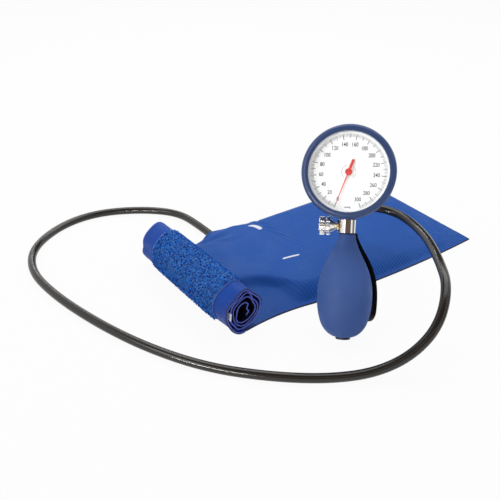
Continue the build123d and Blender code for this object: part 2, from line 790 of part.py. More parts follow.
def cuff_inner_cloth():
    """The upper cloth, crowned over the bladder, which goes round inside the other."""
    strip = in_roll(rolled_strip(roll_arcs(), CLOTH_LOW, CLOTH_TOP, lead=2.0), 0, CUFF_W)
    cloth = flat_sheet(CLOTH_LOW, CLOTH_TOP) + strip
    cloth += pillow(HEM, 0, CLOTH_LOW, PILLOW_RIBS)
    cloth += hump() & flat_sheet(0, 20)
    cloth -= pillow(HEM + 1.2, 1.1, CLOTH_LOW - 0.5, PILLOW_RIBS[1:-1])
    return cloth - hose_way(HOSE_R + 0.5, 10.0, MEETING_DEPTH + NECK_LENGTH + 0.6)


def bladder():
    """The air bladder between the cloths, with the neck that the hose joins."""
    body = pillow(HEM + 4.0, 0, CLOTH_T + 0.1, BLADDER_RIBS)
    neck = hose_way(HOSE_R, -MEETING_DEPTH, MEETING_DEPTH + NECK_LENGTH)
    return body + neck - hose_way(HOSE_BORE_R, 0, MEETING_DEPTH + 11)


def bladder_joiner():
    """The barbed tube that joins the hose to the bladder's neck."""
    tube = hose_way(HOSE_BORE_R - 0.05, 8.0 - MEETING_DEPTH, MEETING_DEPTH + 8.0)
    return tube - hose_way(1.2, 9.0, MEETING_DEPTH + 9.0)


def loop_patch():
    """The fleecy patch on the roll's outer face."""
    arcs = roll_arcs()[1:6]
    return in_roll(rolled_strip(arcs, -PATCH_T, -0.02), PATCH_START, PATCH_END)


def hook_patch():
    """The hook patch on the strip's inner face at its rolled-in end."""
    arcs = roll_arcs()[-4:-1]
    return in_roll(rolled_strip(arcs, CLOTH_TOP + 0.02, CLOTH_TOP + 0.9), 12, CUFF_W - 12)


def sewn_tag():
    """A small folded tag in the roll's near end."""
    tag = make_face(Polyline((-14.45, 18.8), (-14.05, 18.8), (-13.7, 25.3), (-14.1, 25.3), close=True))
    return in_roll(tag, -1.6, 4.0)


# Hose: out of the nozzle, round behind the gauge, over to the table, along it and into the cuff

HOSE_START = (INSTRUMENT * nozzle_frame() * Pos(0, 0, NOZZLE_FLANGE)).position
HOSE_HEADING = (INSTRUMENT * nozzle_frame() * Pos(0, 0, NOZZLE_FLANGE + 1)).position - HOSE_START

HOSE_POINTS = [
    HOSE_START,
    HOSE_START + HOSE_HEADING * HOSE_STRAIGHT,
    Vector(10, -63, 60.3),
    Vector(10.3, -45, 57),
    Vector(19.2, -29.6, 53.8),
    Vector(34.9, -21.6, 51),
    Vector(52.1, -23.2, 48.8),
    Vector(64.2, -30.7, 48),
    Vector(72.5, -45, 47.6),
    Vector(76.9, -66, 49.6),
    Vector(78.6, -92.2, 52.7),
    Vector(76.5, -127, 57),
    Vector(75.2, -158, 54.5),
    Vector(65, -184, 38.5),
    Vector(46, -195, 20),
    Vector(20, -199, 6.5),
    Vector(-14, -203, 4),
    Vector(-56, -201, 4),
    Vector(-104, -191, 4),
    Vector(-152, -168, 4),
    Vector(-197, -137, 4),
    Vector(-241, -99, 4),
    Vector(-273, -61, 4),
    Vector(-284, -19, 4),
    Vector(-268, 26, 4),
    Vector(-237, 53.5, 4),
    Vector(-192, 61.8, 4),
    Vector(-150, 54.5, 4.2),
    MEETING - HOSE_INWARD * 32,
    MEETING,
]


def corner_radii(points):
    """The largest arc that each corner's two runs leave room for."""
    radii = []
    for before, at, after in zip(points, points[1:], points[2:]):
        turn = radians((at - before).get_angle(after - at))
        shorter = min((at - before).length, (after - at).length)
        radii.append(0.45 * shorter / tan(turn / 2))
    return radii


def hose_solid():
    """The hose with its bore."""
    radii = corner_radii(HOSE_POINTS)
    path = FilletPolyline(*HOSE_POINTS, radius=radii)
    end = Plane(HOSE_START, z_dir=HOSE_HEADING)
    section = end * (Circle(HOSE_R) - Circle(HOSE_BORE_R))
    tube = sweep(section, path=path)
    runs = [(b - a).length for a, b in zip(HOSE_POINTS, HOSE_POINTS[1:])]
    area = pi * (HOSE_R ** 2 - HOSE_BORE_R ** 2)
    print("hose runs", [round(r) for r in runs])
    print("hose arc radii", [round(r) for r in radii])
    print("hose length", round(path.length), "volume over section times length",
          round(tube.volume / (area * path.length), 4))
    return tube


def main():
    """Make every piece and write one file for each node."""
    in_gauge = {
        "gauge_case": gauge_case(),
        "bezel_ring": bezel_ring(),
        "lens": lens(),
        "lens_spacer_ring": lens_spacer_ring(),
        "dial": dial(),
        "pointer": pointer(),
        "pinion_arbor": pinion_arbor(),
        "hairspring": hairspring(),
        "hairspring_stud": hairspring_stud(),
        "sector_gear": sector_gear(),
        "movement_rear_plate": movement_rear_plate(),
        "movement_front_plate": movement_front_plate(),
        "movement_pillars": Compound(movement_pillars()),
        "plate_screws": Compound(plate_screws()),
        "rocker": rocker(),
        "capsule": capsule(),
        "capsule_stud": capsule_stud(),
        "capsule_post": capsule_post(),
        "inlet_manifold": inlet_manifold(),
        "case_posts": Compound(case_posts()),
        "case_screws": Compound(case_screws()),
    }
    in_instrument = {
        "connector_block": connector_block(),
        "hose_nozzle": hose_nozzle(),
        "valve_bush": valve_bush(),
        "gland_ring": gland_ring(),
        "release_spindle": release_spindle(),
        "needle_seal": needle_seal(),
        "release_knob": release_knob(),
        "outlet_valve_seat": outlet_valve_seat(),
        "outlet_valve_disc": outlet_valve_disc(),
        "outlet_valve_stop": outlet_valve_stop(),
        "bulb": bulb(),
        "inlet_valve_body": inlet_valve_body(),
        "inlet_valve_disc": inlet_valve_disc(),
        "inlet_valve_cage": inlet_valve_cage(),
        "hand_spoon": hand_spoon(),
    }
    on_table = {
        "cuff_outer_cloth": cuff_outer_cloth(),
        "cuff_inner_cloth": cuff_inner_cloth(),
        "bladder": bladder(),
        "bladder_joiner": bladder_joiner(),
        "loop_patch": loop_patch(),
        "hook_patch": hook_patch(),
        "sewn_tag": sewn_tag(),
        "hose": hose_solid(),
    }
    pieces = {name: GAUGE * piece for name, piece in in_gauge.items()}
    pieces |= {name: INSTRUMENT * piece for name, piece in in_instrument.items()}
    pieces |= on_table
    os.makedirs("parts", exist_ok=True)
    for name, piece in pieces.items():
        export_step(piece, f"parts/{name}.step")


main()
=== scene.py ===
"""Looks of a palm-type blood pressure gauge with its squeeze bulb, hose and rolled cuff.

Sizes are in millimetres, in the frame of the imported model. Blender's own objects are in metres.
"""

from __future__ import annotations

import logging
import math
import random
from bisect import bisect_right
from collections.abc import Callable, Sequence
from dataclasses import dataclass, field
from enum import Enum
from typing import ClassVar

import bpy
from mathutils import Euler, Matrix, Vector, noise


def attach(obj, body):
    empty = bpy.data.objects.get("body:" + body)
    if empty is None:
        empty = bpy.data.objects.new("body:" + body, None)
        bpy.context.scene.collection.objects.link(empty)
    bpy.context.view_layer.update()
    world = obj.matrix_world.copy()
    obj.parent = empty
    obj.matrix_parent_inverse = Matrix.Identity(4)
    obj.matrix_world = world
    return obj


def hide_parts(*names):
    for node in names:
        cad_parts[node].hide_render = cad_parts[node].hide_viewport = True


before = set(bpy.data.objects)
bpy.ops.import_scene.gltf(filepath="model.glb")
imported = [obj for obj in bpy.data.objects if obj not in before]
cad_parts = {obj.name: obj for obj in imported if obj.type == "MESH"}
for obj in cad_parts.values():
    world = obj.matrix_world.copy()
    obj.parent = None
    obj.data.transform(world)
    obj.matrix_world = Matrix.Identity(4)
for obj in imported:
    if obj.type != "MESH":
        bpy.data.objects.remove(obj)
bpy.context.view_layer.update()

MM = 0.001
log = logging.getLogger("pressure_gauge")

Pair = tuple[float, float]
Triple = tuple[float, float, float]
Colour = Triple
Placed = tuple[Vector, Pair]
Socket = bpy.types.NodeSocket


def screen(red: float, green: float, blue: float) -> Colour:
    """A colour given as 0 to 255 screen values, as linear light.

    Args:
        red: Red, 0 to 255.
        green: Green, 0 to 255.
        blue: Blue, 0 to 255.

    Returns:
        The same colour as linear values from 0 to 1.
    """

    def linear(value: float) -> float:
        """One channel as linear light."""
        share = value / 255
        return share / 12.92 if share <= 0.04045 else ((share + 0.055) / 1.055) ** 2.4

    return linear(red), linear(green), linear(blue)


def table_at(table: Sequence[Pair], x: float) -> float:
    """A value read from a table of (x, value) pairs by straight lines.

    Args:
        table: Pairs in rising order of x.
        x: Where to read.

    Returns:
        The value there; past the ends, the end's value.
    """
    if x <= table[0][0]:
        return table[0][1]
    for (x0, y0), (x1, y1) in zip(table, table[1:]):
        if x <= x1:
            return y0 + (y1 - y0) * (x - x0) / (x1 - x0)
    return table[-1][1]


def eased(x: float) -> float:
    """A smooth step from 0 to 1 as x goes from 0 to 1."""
    x = min(1.0, max(0.0, x))
    return x * x * (3 - 2 * x)


def ramp(x: float, start: float, length: float) -> float:
    """A smooth step from 0 at the start to 1 a length further on, backwards for a length below 0."""
    return eased((x - start) / length)


def bell(x: float, width: float) -> float:
    """A smooth bump, 1 at x = 0 and near 0 beyond two widths."""
    return math.exp(-((x / width) ** 2))


class Body(Enum):
    """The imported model's bodies that pieces made here ride on."""

    FRAME = "frame"


class Slot(Enum):
    """The record's material slots, named for the pieces made here."""

    HOSE = "black_hose"
    NYLON = "blue_nylon"
    FLEECE = "loop_fleece"
    HOOKS = "hook_tape"
    BLADDER = "bladder_rubber"
    LABEL = "white_label"
    DIAL = "dial_white"


class Shading:
    """The node tree of a material or of the world while it is put together."""

    def __init__(self, owner: bpy.types.ID, output: str) -> None:
        """Empty the owner's tree and give it its output.

        Args:
            owner: The material or the world.
            output: The type of its output node, without the leading ShaderNode.
        """
        owner.use_nodes = True
        self.tree = owner.node_tree
        self.tree.nodes.clear()
        self.output = self.node(output, {})

    def feed(self, socket: Socket, value: object) -> None:
        """Link a socket to another, or set its constant.

        Args:
            socket: The input.
            value: A socket, a number, a vector or a colour of three values.
        """
        if isinstance(value, Socket):
            self.tree.links.new(value, socket)
        elif socket.type == "RGBA" and len(value) == 3:
            socket.default_value = (*value, 1.0)
        else:
            socket.default_value = value

    def node(self, kind: str, inputs: dict, **settings: object) -> bpy.types.Node:
        """Add a node.

        Args:
            kind: Its type, without the leading ShaderNode.
            inputs: Values or sockets by input name or number.
            **settings: The node's own settings.

        Returns:
            The node.
        """
        made = self.tree.nodes.new("ShaderNode" + kind)
        for key, value in settings.items():
            setattr(made, key, value)
        for key, value in inputs.items():
            self.feed(made.inputs[key], value)
        return made

    def maths(self, how: str, first: object, second: object = 0.0) -> Socket:
        """Two values put together by a named operation."""
        return self.node("Math", {0: first, 1: second}, operation=how).outputs[0]

    def seen(self) -> Socket:
        """1 on the rays of the camera, of mirrors and of glass, and 0 on all others.

        Returns:
            That value.
        """
        rays = self.node("LightPath", {})
        seen = rays.outputs["Is Camera Ray"]
        for name in ("Is Glossy Ray", "Is Transmission Ray"):
            seen = self.maths("MAXIMUM", seen, rays.outputs[name])
        return seen

    def show(self, shader: bpy.types.Node) -> None:
        """Send a shader to the output."""
        self.feed(self.output.inputs[0], shader.outputs[0])

    def show_mix(self, share: Socket, first: bpy.types.Node, second: bpy.types.Node) -> None:
        """Send two shaders to the output, share being how much of the second."""
        self.show(self.node("MixShader", {0: share, 1: first.outputs[0], 2: second.outputs[0]}))


class Recipe(Shading):
    """The node tree of one material."""

    def __init__(self, name: str) -> None:
        """Start with one principled shader.

        Args:
            name: The material's name.
        """
        self.material = bpy.data.materials.new(name)
        super().__init__(self.material, "OutputMaterial")
        self.shader = self.node("BsdfPrincipled", {})
        self.show(self.shader)

    def set(self, **values: object) -> None:
        """Set the shader's inputs by name, with _ for a space."""
        for key, value in values.items():
            self.feed(self.shader.inputs[key.replace("_", " ")], value)

    def place(self, kind: str = "Object") -> Socket:
        """The surface's own coordinates, in metres: Object, or UV for a cloth's own map."""
        return self.node("TexCoord", {}).outputs[kind]

    def noise(self, place: Socket, size: float, detail: float = 2.0) -> Socket:
        """Cloudy noise.

        Args:
            place: Coordinates in metres.
            size: The clouds' size in millimetres.
            detail: How many finer layers it has.

        Returns:
            Its value, 0 to 1.
        """
        inputs = {"Vector": place, "Scale": 1 / (size * MM), "Detail": detail}
        return self.node("TexNoise", inputs).outputs[0]

    def cells(self, place: Socket, size: float) -> Socket:
        """The distance to the middle of the nearest cell, size millimetres across."""
        return self.node("TexVoronoi", {"Vector": place, "Scale": 1 / (size * MM)}).outputs["Distance"]

    def bands(self, place: Socket, period: float, direction: str, distortion: float) -> Socket:
        """Sine bands.

        Args:
            place: Coordinates in metres.
            period: From crest to crest, in millimetres.
            direction: X, Y or Z.
            distortion: How much they waver.

        Returns:
            Their value, 0 to 1.
        """
        scale = math.pi / (10 * period * MM)
        inputs = {"Vector": place, "Scale": scale, "Distortion": distortion, "Detail Scale": 1.0}
        return self.node("TexWave", inputs, bands_direction=direction).outputs[1]

    def between(self, value: Socket, low: float, high: float, start: float, end: float) -> Socket:
        """A value from start to end, spread from low to high."""
        inputs = {"Value": value, "From Min": start, "From Max": end, "To Min": low, "To Max": high}
        return self.node("MapRange", inputs).outputs[0]

    def blend(self, share: object, first: object, second: object) -> Socket:
        """Two colours mixed.

        Args:
            share: How much of the second, a number or a socket.
            first: The first colour or socket.
            second: The second colour or socket.

        Returns:
            The mixed colour.
        """
        return self.node("Mix", {0: share, 6: first, 7: second}, data_type="RGBA").outputs[2]

    def turned(self, place: Socket, pose: Matrix) -> Socket:
        """Coordinates seen from a pose: its origin and axes become the texture's own."""
        inputs = {"Vector": place, "Location": pose.translation, "Rotation": pose.to_euler()}
        return self.node("Mapping", inputs, vector_type="TEXTURE").outputs[0]

    def bump(self, height: Socket, depth: float, under: Socket | None = None) -> Socket:
        """A normal from a height.

        Args:
            height: A value from 0 to 1.
            depth: The full height in millimetres.
            under: A bumped normal that this one adds to.

        Returns:
            The normal.
        """
        inputs = {"Height": height, "Distance": depth * MM, "Strength": 1.0}
        if under is not None:
            inputs["Normal"] = under
        return self.node("Bump", inputs).outputs[0]


@dataclass(frozen=True)
class Stance:
    """Where the bulb's axis stands on the table and how it leans."""

    foot: Triple = (1.2, -155.8, 2.696)
    yaw: float = -13.0
    lean: float = 27.5
    side_tilt: float = -4.25
    hub: float = 130.0
    valve_height: float = 88.6

    def instrument(self) -> Matrix:
        """The pose of the bulb's frame, +Z along its axis, in metres.

        Returns:
            The pose.
        """
        turn = Matrix.Rotation(math.radians(self.yaw), 4, "Z")
        turn @= Matrix.Rotation(math.radians(-self.lean), 4, "X")
        turn @= Matrix.Rotation(math.radians(self.side_tilt), 4, "Y")
        return Matrix.Translation(Vector(self.foot) * MM) @ turn

    def gauge(self) -> Matrix:
        """The pose of the dial's frame, +Z out of the dial and +Y up it, in metres."""
        lift = Matrix.Translation(Vector((0, 0, self.hub * MM)))
        return self.instrument() @ lift @ Matrix.Rotation(math.radians(90), 4, "X")

    def valve(self) -> Matrix:
        """The pose of the release valve, +Z along its spindle, in metres."""
        lift = Matrix.Translation(Vector((0, 0, self.valve_height * MM)))
        return self.instrument() @ lift @ Matrix.Rotation(math.radians(-90), 4, "Y")


STANCE = Stance()


@dataclass(frozen=True)
class Finish:
    """A surface: its colour, how it drifts, its gloss and its grain.

    Attributes:
        name: The material's name.
        colour: Linear colour.
        roughness: Its mean roughness.
        metallic: 1 for bare metal.
        drift: The share by which the colour drifts.
        drift_size: The size of that drift, in millimetres.
        grain: The grain's depth in millimetres.
        grain_size: The grain's size in millimetres.
        specular: The gloss level.
        coat: The clear coat's weight.
        sheen: The weight of the fuzz at the edge of sight.
        made: The materials made so far, by name.
        pattern: Which of the surface's coordinates its patterns are read in.
    """

    name: str
    colour: Colour
    roughness: float
    metallic: float = 0.0
    drift: float = 0.08
    drift_size: float = 16.0
    grain: float = 0.006
    grain_size: float = 0.5
    specular: float = 0.5
    coat: float = 0.0
    sheen: float = 0.0
    made: ClassVar[dict[str, bpy.types.Material]] = {}
    pattern: ClassVar[str] = "Object"

    @property
    def material(self) -> bpy.types.Material:
        """The material, made at its first use.

        Returns:
            The material.
        """
        if self.name not in Finish.made:
            Finish.made[self.name] = self.mix()
        return Finish.made[self.name]

    def mix(self) -> bpy.types.Material:
        """Put the material together.

        Returns:
            The material.
        """
        recipe = Recipe(self.name)
        place = recipe.place(self.pattern)
        recipe.set(
            Base_Color=self.paint(recipe, place),
            Roughness=self.gloss(recipe, place),
            Metallic=self.metallic,
            Specular_IOR_Level=self.specular,
            Coat_Weight=self.coat,
            Sheen_Weight=self.sheen,
            Normal=self.relief(recipe, place),
        )
        self.extras(recipe)
        return recipe.material

    def paint(self, recipe: Recipe, place: Socket) -> Socket:
        """The colour, drifting from a little darker to a little lighter.

        Args:
            recipe: The material under way.
            place: Where its patterns are read.

        Returns:
            The colour.
        """
        dark = tuple(c * (1 - self.drift) for c in self.colour)
        light = tuple(min(1.0, c * (1 + self.drift) + 0.004) for c in self.colour)
        return recipe.blend(recipe.noise(place, self.drift_size, 4.0), dark, light)

    def gloss(self, recipe: Recipe, place: Socket) -> Socket:
        """The roughness, with worn patches."""
        patches = recipe.noise(place, self.drift_size * 0.6, 3.0)
        return recipe.between(patches, self.roughness * 0.8, self.roughness * 1.2, 0.3, 0.7)

    def relief(self, recipe: Recipe, place: Socket) -> Socket:
        """The fine grain over the coarser relief."""
        return recipe.bump(recipe.noise(place, self.grain_size), self.grain, self.under(recipe, place))

    def under(self, recipe: Recipe, place: Socket) -> Socket | None:
        """The coarser relief, where one kind of finish has it."""

    def extras(self, recipe: Recipe) -> None:
        """What one kind of finish adds."""


@dataclass(frozen=True)
class DustyRubber(Finish):
    """Moulded rubber with slow waves and a few specks of dust, sizes in millimetres."""

    wave: float = 14.0
    wave_depth: float = 0.12
    specks: float = 0.10
    speck_gap: float = 2.6
    dust: Colour = (0.5, 0.52, 0.56)

    def paint(self, recipe: Recipe, place: Socket) -> Socket:
        """The drifting colour, with pale specks.

        Args:
            recipe: The material under way.
            place: Where its patterns are read.

        Returns:
            The colour.
        """
        base = super().paint(recipe, place)
        speck = recipe.between(recipe.cells(place, self.speck_gap), self.specks, 0.0, 0.0, 0.10)
        return recipe.blend(speck, base, self.dust)

    def under(self, recipe: Recipe, place: Socket) -> Socket:
        """Slow waves in the wall."""
        return recipe.bump(recipe.noise(place, self.wave, 1.0), self.wave_depth)


@dataclass(frozen=True)
class TurnedMetal(Finish):
    """Metal turned on a lathe, with fine rings round an axis."""

    pose: Matrix = field(default_factory=Matrix, compare=False)
    ring: float = 0.35
    ring_depth: float = 0.0015

    def under(self, recipe: Recipe, place: Socket) -> Socket:
        """Tool rings along the axis."""
        return recipe.bump(recipe.bands(recipe.turned(place, self.pose), self.ring, "Z", 0.6), self.ring_depth)


@dataclass(frozen=True)
class RolledBrass(Finish):
    """Sheet brass or bronze, brushed one way and slightly tarnished."""

    tarnish: Colour = (0.20, 0.13, 0.06)
    tarnished: float = 0.35
    cloud: float = 7.0
    brush: float = 3.0
    brush_stretch: float = 18

    def paint(self, recipe: Recipe, place: Socket) -> Socket:
        """The metal with darker clouds of tarnish."""
        clouds = recipe.between(recipe.noise(place, self.cloud, 5.0), 0.0, self.tarnished, 0.5, 0.8)
        return recipe.blend(clouds, super().paint(recipe, place), self.tarnish)

    def relief(self, recipe: Recipe, place: Socket) -> Socket:
        """Brush lines in the gauge's frame.

        Args:
            recipe: The material under way.
            place: Where its patterns are read.

        Returns:
            The normal.
        """
        own = recipe.turned(place, STANCE.gauge())
        stretched = recipe.node("Mapping", {"Vector": own, "Scale": (1, self.brush_stretch, 1)}).outputs[0]
        return recipe.bump(recipe.noise(stretched, self.brush, 3.0), self.grain)


@dataclass(frozen=True)
class ClearGlass(Finish):
    """Flat window glass that lets the lamps through, with slow waves in millimetres."""

    wave: float = 20.0
    wave_depth: float = 0.004

    def extras(self, recipe: Recipe) -> None:
        """Pass light straight through for shadows.

        Args:
            recipe: The material under way.
        """
        recipe.set(Transmission_Weight=1.0, IOR=1.45)
        clear = recipe.node("BsdfTransparent", {"Color": (0.97, 0.98, 0.98)})
        recipe.show_mix(recipe.node("LightPath", {}).outputs["Is Shadow Ray"], recipe.shader, clear)

    def gloss(self, recipe: Recipe, place: Socket) -> float:
        """Even polish."""
        return self.roughness

    def relief(self, recipe: Recipe, place: Socket) -> Socket:
        """Slow waves in the pane."""
        return recipe.bump(recipe.noise(place, self.wave, 1.0), self.wave_depth)

    def paint(self, recipe: Recipe, place: Socket) -> Colour:
        """Clear, with no cast."""
        return self.colour


@dataclass(frozen=True)
class RibbedNylon(Finish):
    """Coated nylon cloth with a diagonal rib that fades out near the roll.

    Attributes:
        rib: From rib to rib, in millimetres.
        rib_turn: The ribs' angle on the cloth's own map, in degrees.
        rib_depth: Their depth in millimetres.
        rib_middle: Their mean height, 0 to 1.
        valley: How much darker the cloth is painted between them: painted shade.
        plain_from: How far from the free end they begin to fade, in millimetres.
        fade_over: How long they take to fade, in millimetres.
        faded: The share that is left of them.
        crease: The size of soft creases in millimetres.
        crease_depth: Their depth in millimetres.
        thread: From thread to thread, in millimetres.
        thread_depth: The threads' depth in millimetres.
        worn: The colour of worn clouds.
        worn_size: The clouds' size in millimetres.
    """

    pattern: ClassVar[str] = "UV"
    rib: float = 3.1
    rib_turn: float = 15.7
    rib_depth: float = 0.05
    rib_middle: float = 0.45
    valley: float = 0.46
    plain_from: float = 160.0
    fade_over: float = 55.0
    faded: float = 0.06
    crease: float = 26.0
    crease_depth: float = 0.55
    thread: float = 0.42
    thread_depth: float = 0.04
    worn: Colour = (0.09, 0.22, 0.62)
    worn_size: float = 45.0

    def ribs(self, recipe: Recipe, place: Socket) -> Socket:
        """The diagonal ribs.

        Args:
            recipe: The material under way.
            place: Where its patterns are read.

        Returns:
            Their height, 0 to 1.
        """
        slanted = recipe.node("Mapping", {"Vector": place, "Rotation": (0, 0, math.radians(self.rib_turn))})
        ribs = recipe.bands(slanted.outputs[0], self.rib, "X", 0.35)
        along = recipe.node("SeparateXYZ", {0: place}).outputs[0]
        plain = self.plain_from + self.fade_over
        strength = recipe.between(along, 1.0, self.faded, self.plain_from * MM, plain * MM)
        swing = recipe.maths("MULTIPLY", recipe.maths("SUBTRACT", ribs, self.rib_middle), strength)
        return recipe.maths("ADD", swing, self.rib_middle)

    def paint(self, recipe: Recipe, place: Socket) -> Socket:
        """The dye, with painted shade between the ribs.

        Args:
            recipe: The material under way.
            place: Where its patterns are read.

        Returns:
            The colour.
        """
        # Painted shade in the grooves between the ribs.
        dark = tuple(c * (1 - self.valley) for c in self.colour)
        share = recipe.between(self.ribs(recipe, place), 0.0, 1.0, 0.1, 0.8)
        cloth = recipe.blend(share, dark, super().paint(recipe, place))
        worn = recipe.between(recipe.noise(place, self.worn_size, 4.0), 0.0, 0.10, 0.5, 0.75)
        return recipe.blend(worn, cloth, self.worn)

    def relief(self, recipe: Recipe, place: Socket) -> Socket:
        """Soft creases, then ribs, then crossing threads.

        Args:
            recipe: The material under way.
            place: Where its patterns are read.

        Returns:
            The normal.
        """
        soft = recipe.bump(recipe.noise(place, self.crease, 4.0), self.crease_depth)
        ribbed = recipe.bump(self.ribs(recipe, place), self.rib_depth, soft)
        warp, weft = (recipe.bands(place, self.thread, way, 0.2) for way in "XY")
        return recipe.bump(recipe.maths("MULTIPLY", warp, weft), self.thread_depth, ribbed)

    def extras(self, recipe: Recipe) -> None:
        """The fuzz's own colour."""
        recipe.set(Sheen_Roughness=0.45, Sheen_Tint=(0.35, 0.5, 1.0))


@dataclass(frozen=True)
class CurledPile(Finish):
    """Brushed loops: painted highlight on their tips over painted shade in the gaps."""

    pattern: ClassVar[str] = "UV"
    # The colour painted on lit loop tips: a painted highlight; the base colour is painted shade.
    tip: Colour = (0.15, 0.38, 0.88)
    clump: float = 1.5
    clump_depth: float = 0.9
    loop: float = 0.45
    loop_depth: float = 0.25

    def paint(self, recipe: Recipe, place: Socket) -> Socket:
        """Clumps of loops painted light and dark, as painted highlight and painted shade.

        Args:
            recipe: The material under way.
            place: Where its patterns are read.

        Returns:
            The colour.
        """
        clumps = recipe.noise(place, self.clump, 3.0)
        share = recipe.between(clumps, 0.0, 1.0, 0.36, 0.66)
        return recipe.blend(share, self.colour, self.tip)

    def relief(self, recipe: Recipe, place: Socket) -> Socket:
        """Deep clumps and fine loops."""
        deep = recipe.bump(recipe.noise(place, self.clump, 3.0), self.clump_depth)
        return recipe.bump(recipe.cells(place, self.loop), self.loop_depth, deep)


@dataclass(frozen=True)
class CurledThread(Finish):
    """Single loops, some light and some in shadow."""

    tip: Colour = (0.04, 0.32, 1.0)
    clump: float = 1.9

    def paint(self, recipe: Recipe, place: Socket) -> Socket:
        """Dark and light loops side by side."""
        share = recipe.between(recipe.noise(place, self.clump, 2.0), 0.0, 1.0, 0.40, 0.62)
        return recipe.blend(share, self.colour, self.tip)


@dataclass(frozen=True)
class TippedEnamel(Finish):
    """Pointer enamel whose tip is dark beyond tip_start, lift being the pointer's height in the gauge."""

    tip: Colour = (0.03, 0.015, 0.012)
    tip_start: float = 24.4
    tip_blend: float = 0.4
    lift: float = 14.25

    def paint(self, recipe: Recipe, place: Socket) -> Socket:
        """The enamel, dark beyond the tip's start.

        Args:
            recipe: The material under way.
            place: Where its patterns are read.

        Returns:
            The colour.
        """
        own = recipe.turned(place, STANCE.gauge())
        reach = recipe.node("VectorMath", {0: own}, operation="LENGTH").outputs["Value"]
        edge = math.hypot(self.tip_start, self.lift) * MM
        share = recipe.between(reach, 0.0, 1.0, edge, edge + self.tip_blend * MM)
        return recipe.blend(share, super().paint(recipe, place), self.tip)


@dataclass(frozen=True)
class HookTape(Finish):
    """Woven tape with rows of small hooks."""

    pattern: ClassVar[str] = "UV"
    hook_gap: float = 1.6
    row_gap: float = 1.1
    hook_depth: float = 0.5

    def relief(self, recipe: Recipe, place: Socket) -> Socket:
        """Rows across rows.

        Args:
            recipe: The material under way.
            place: Where its patterns are read.

        Returns:
            The normal.
        """
        across = recipe.bands(place, self.hook_gap, "X", 0.3)
        along = recipe.bands(place, self.row_gap, "Y", 0.3)
        return recipe.bump(recipe.maths("MULTIPLY", across, along), self.hook_depth)


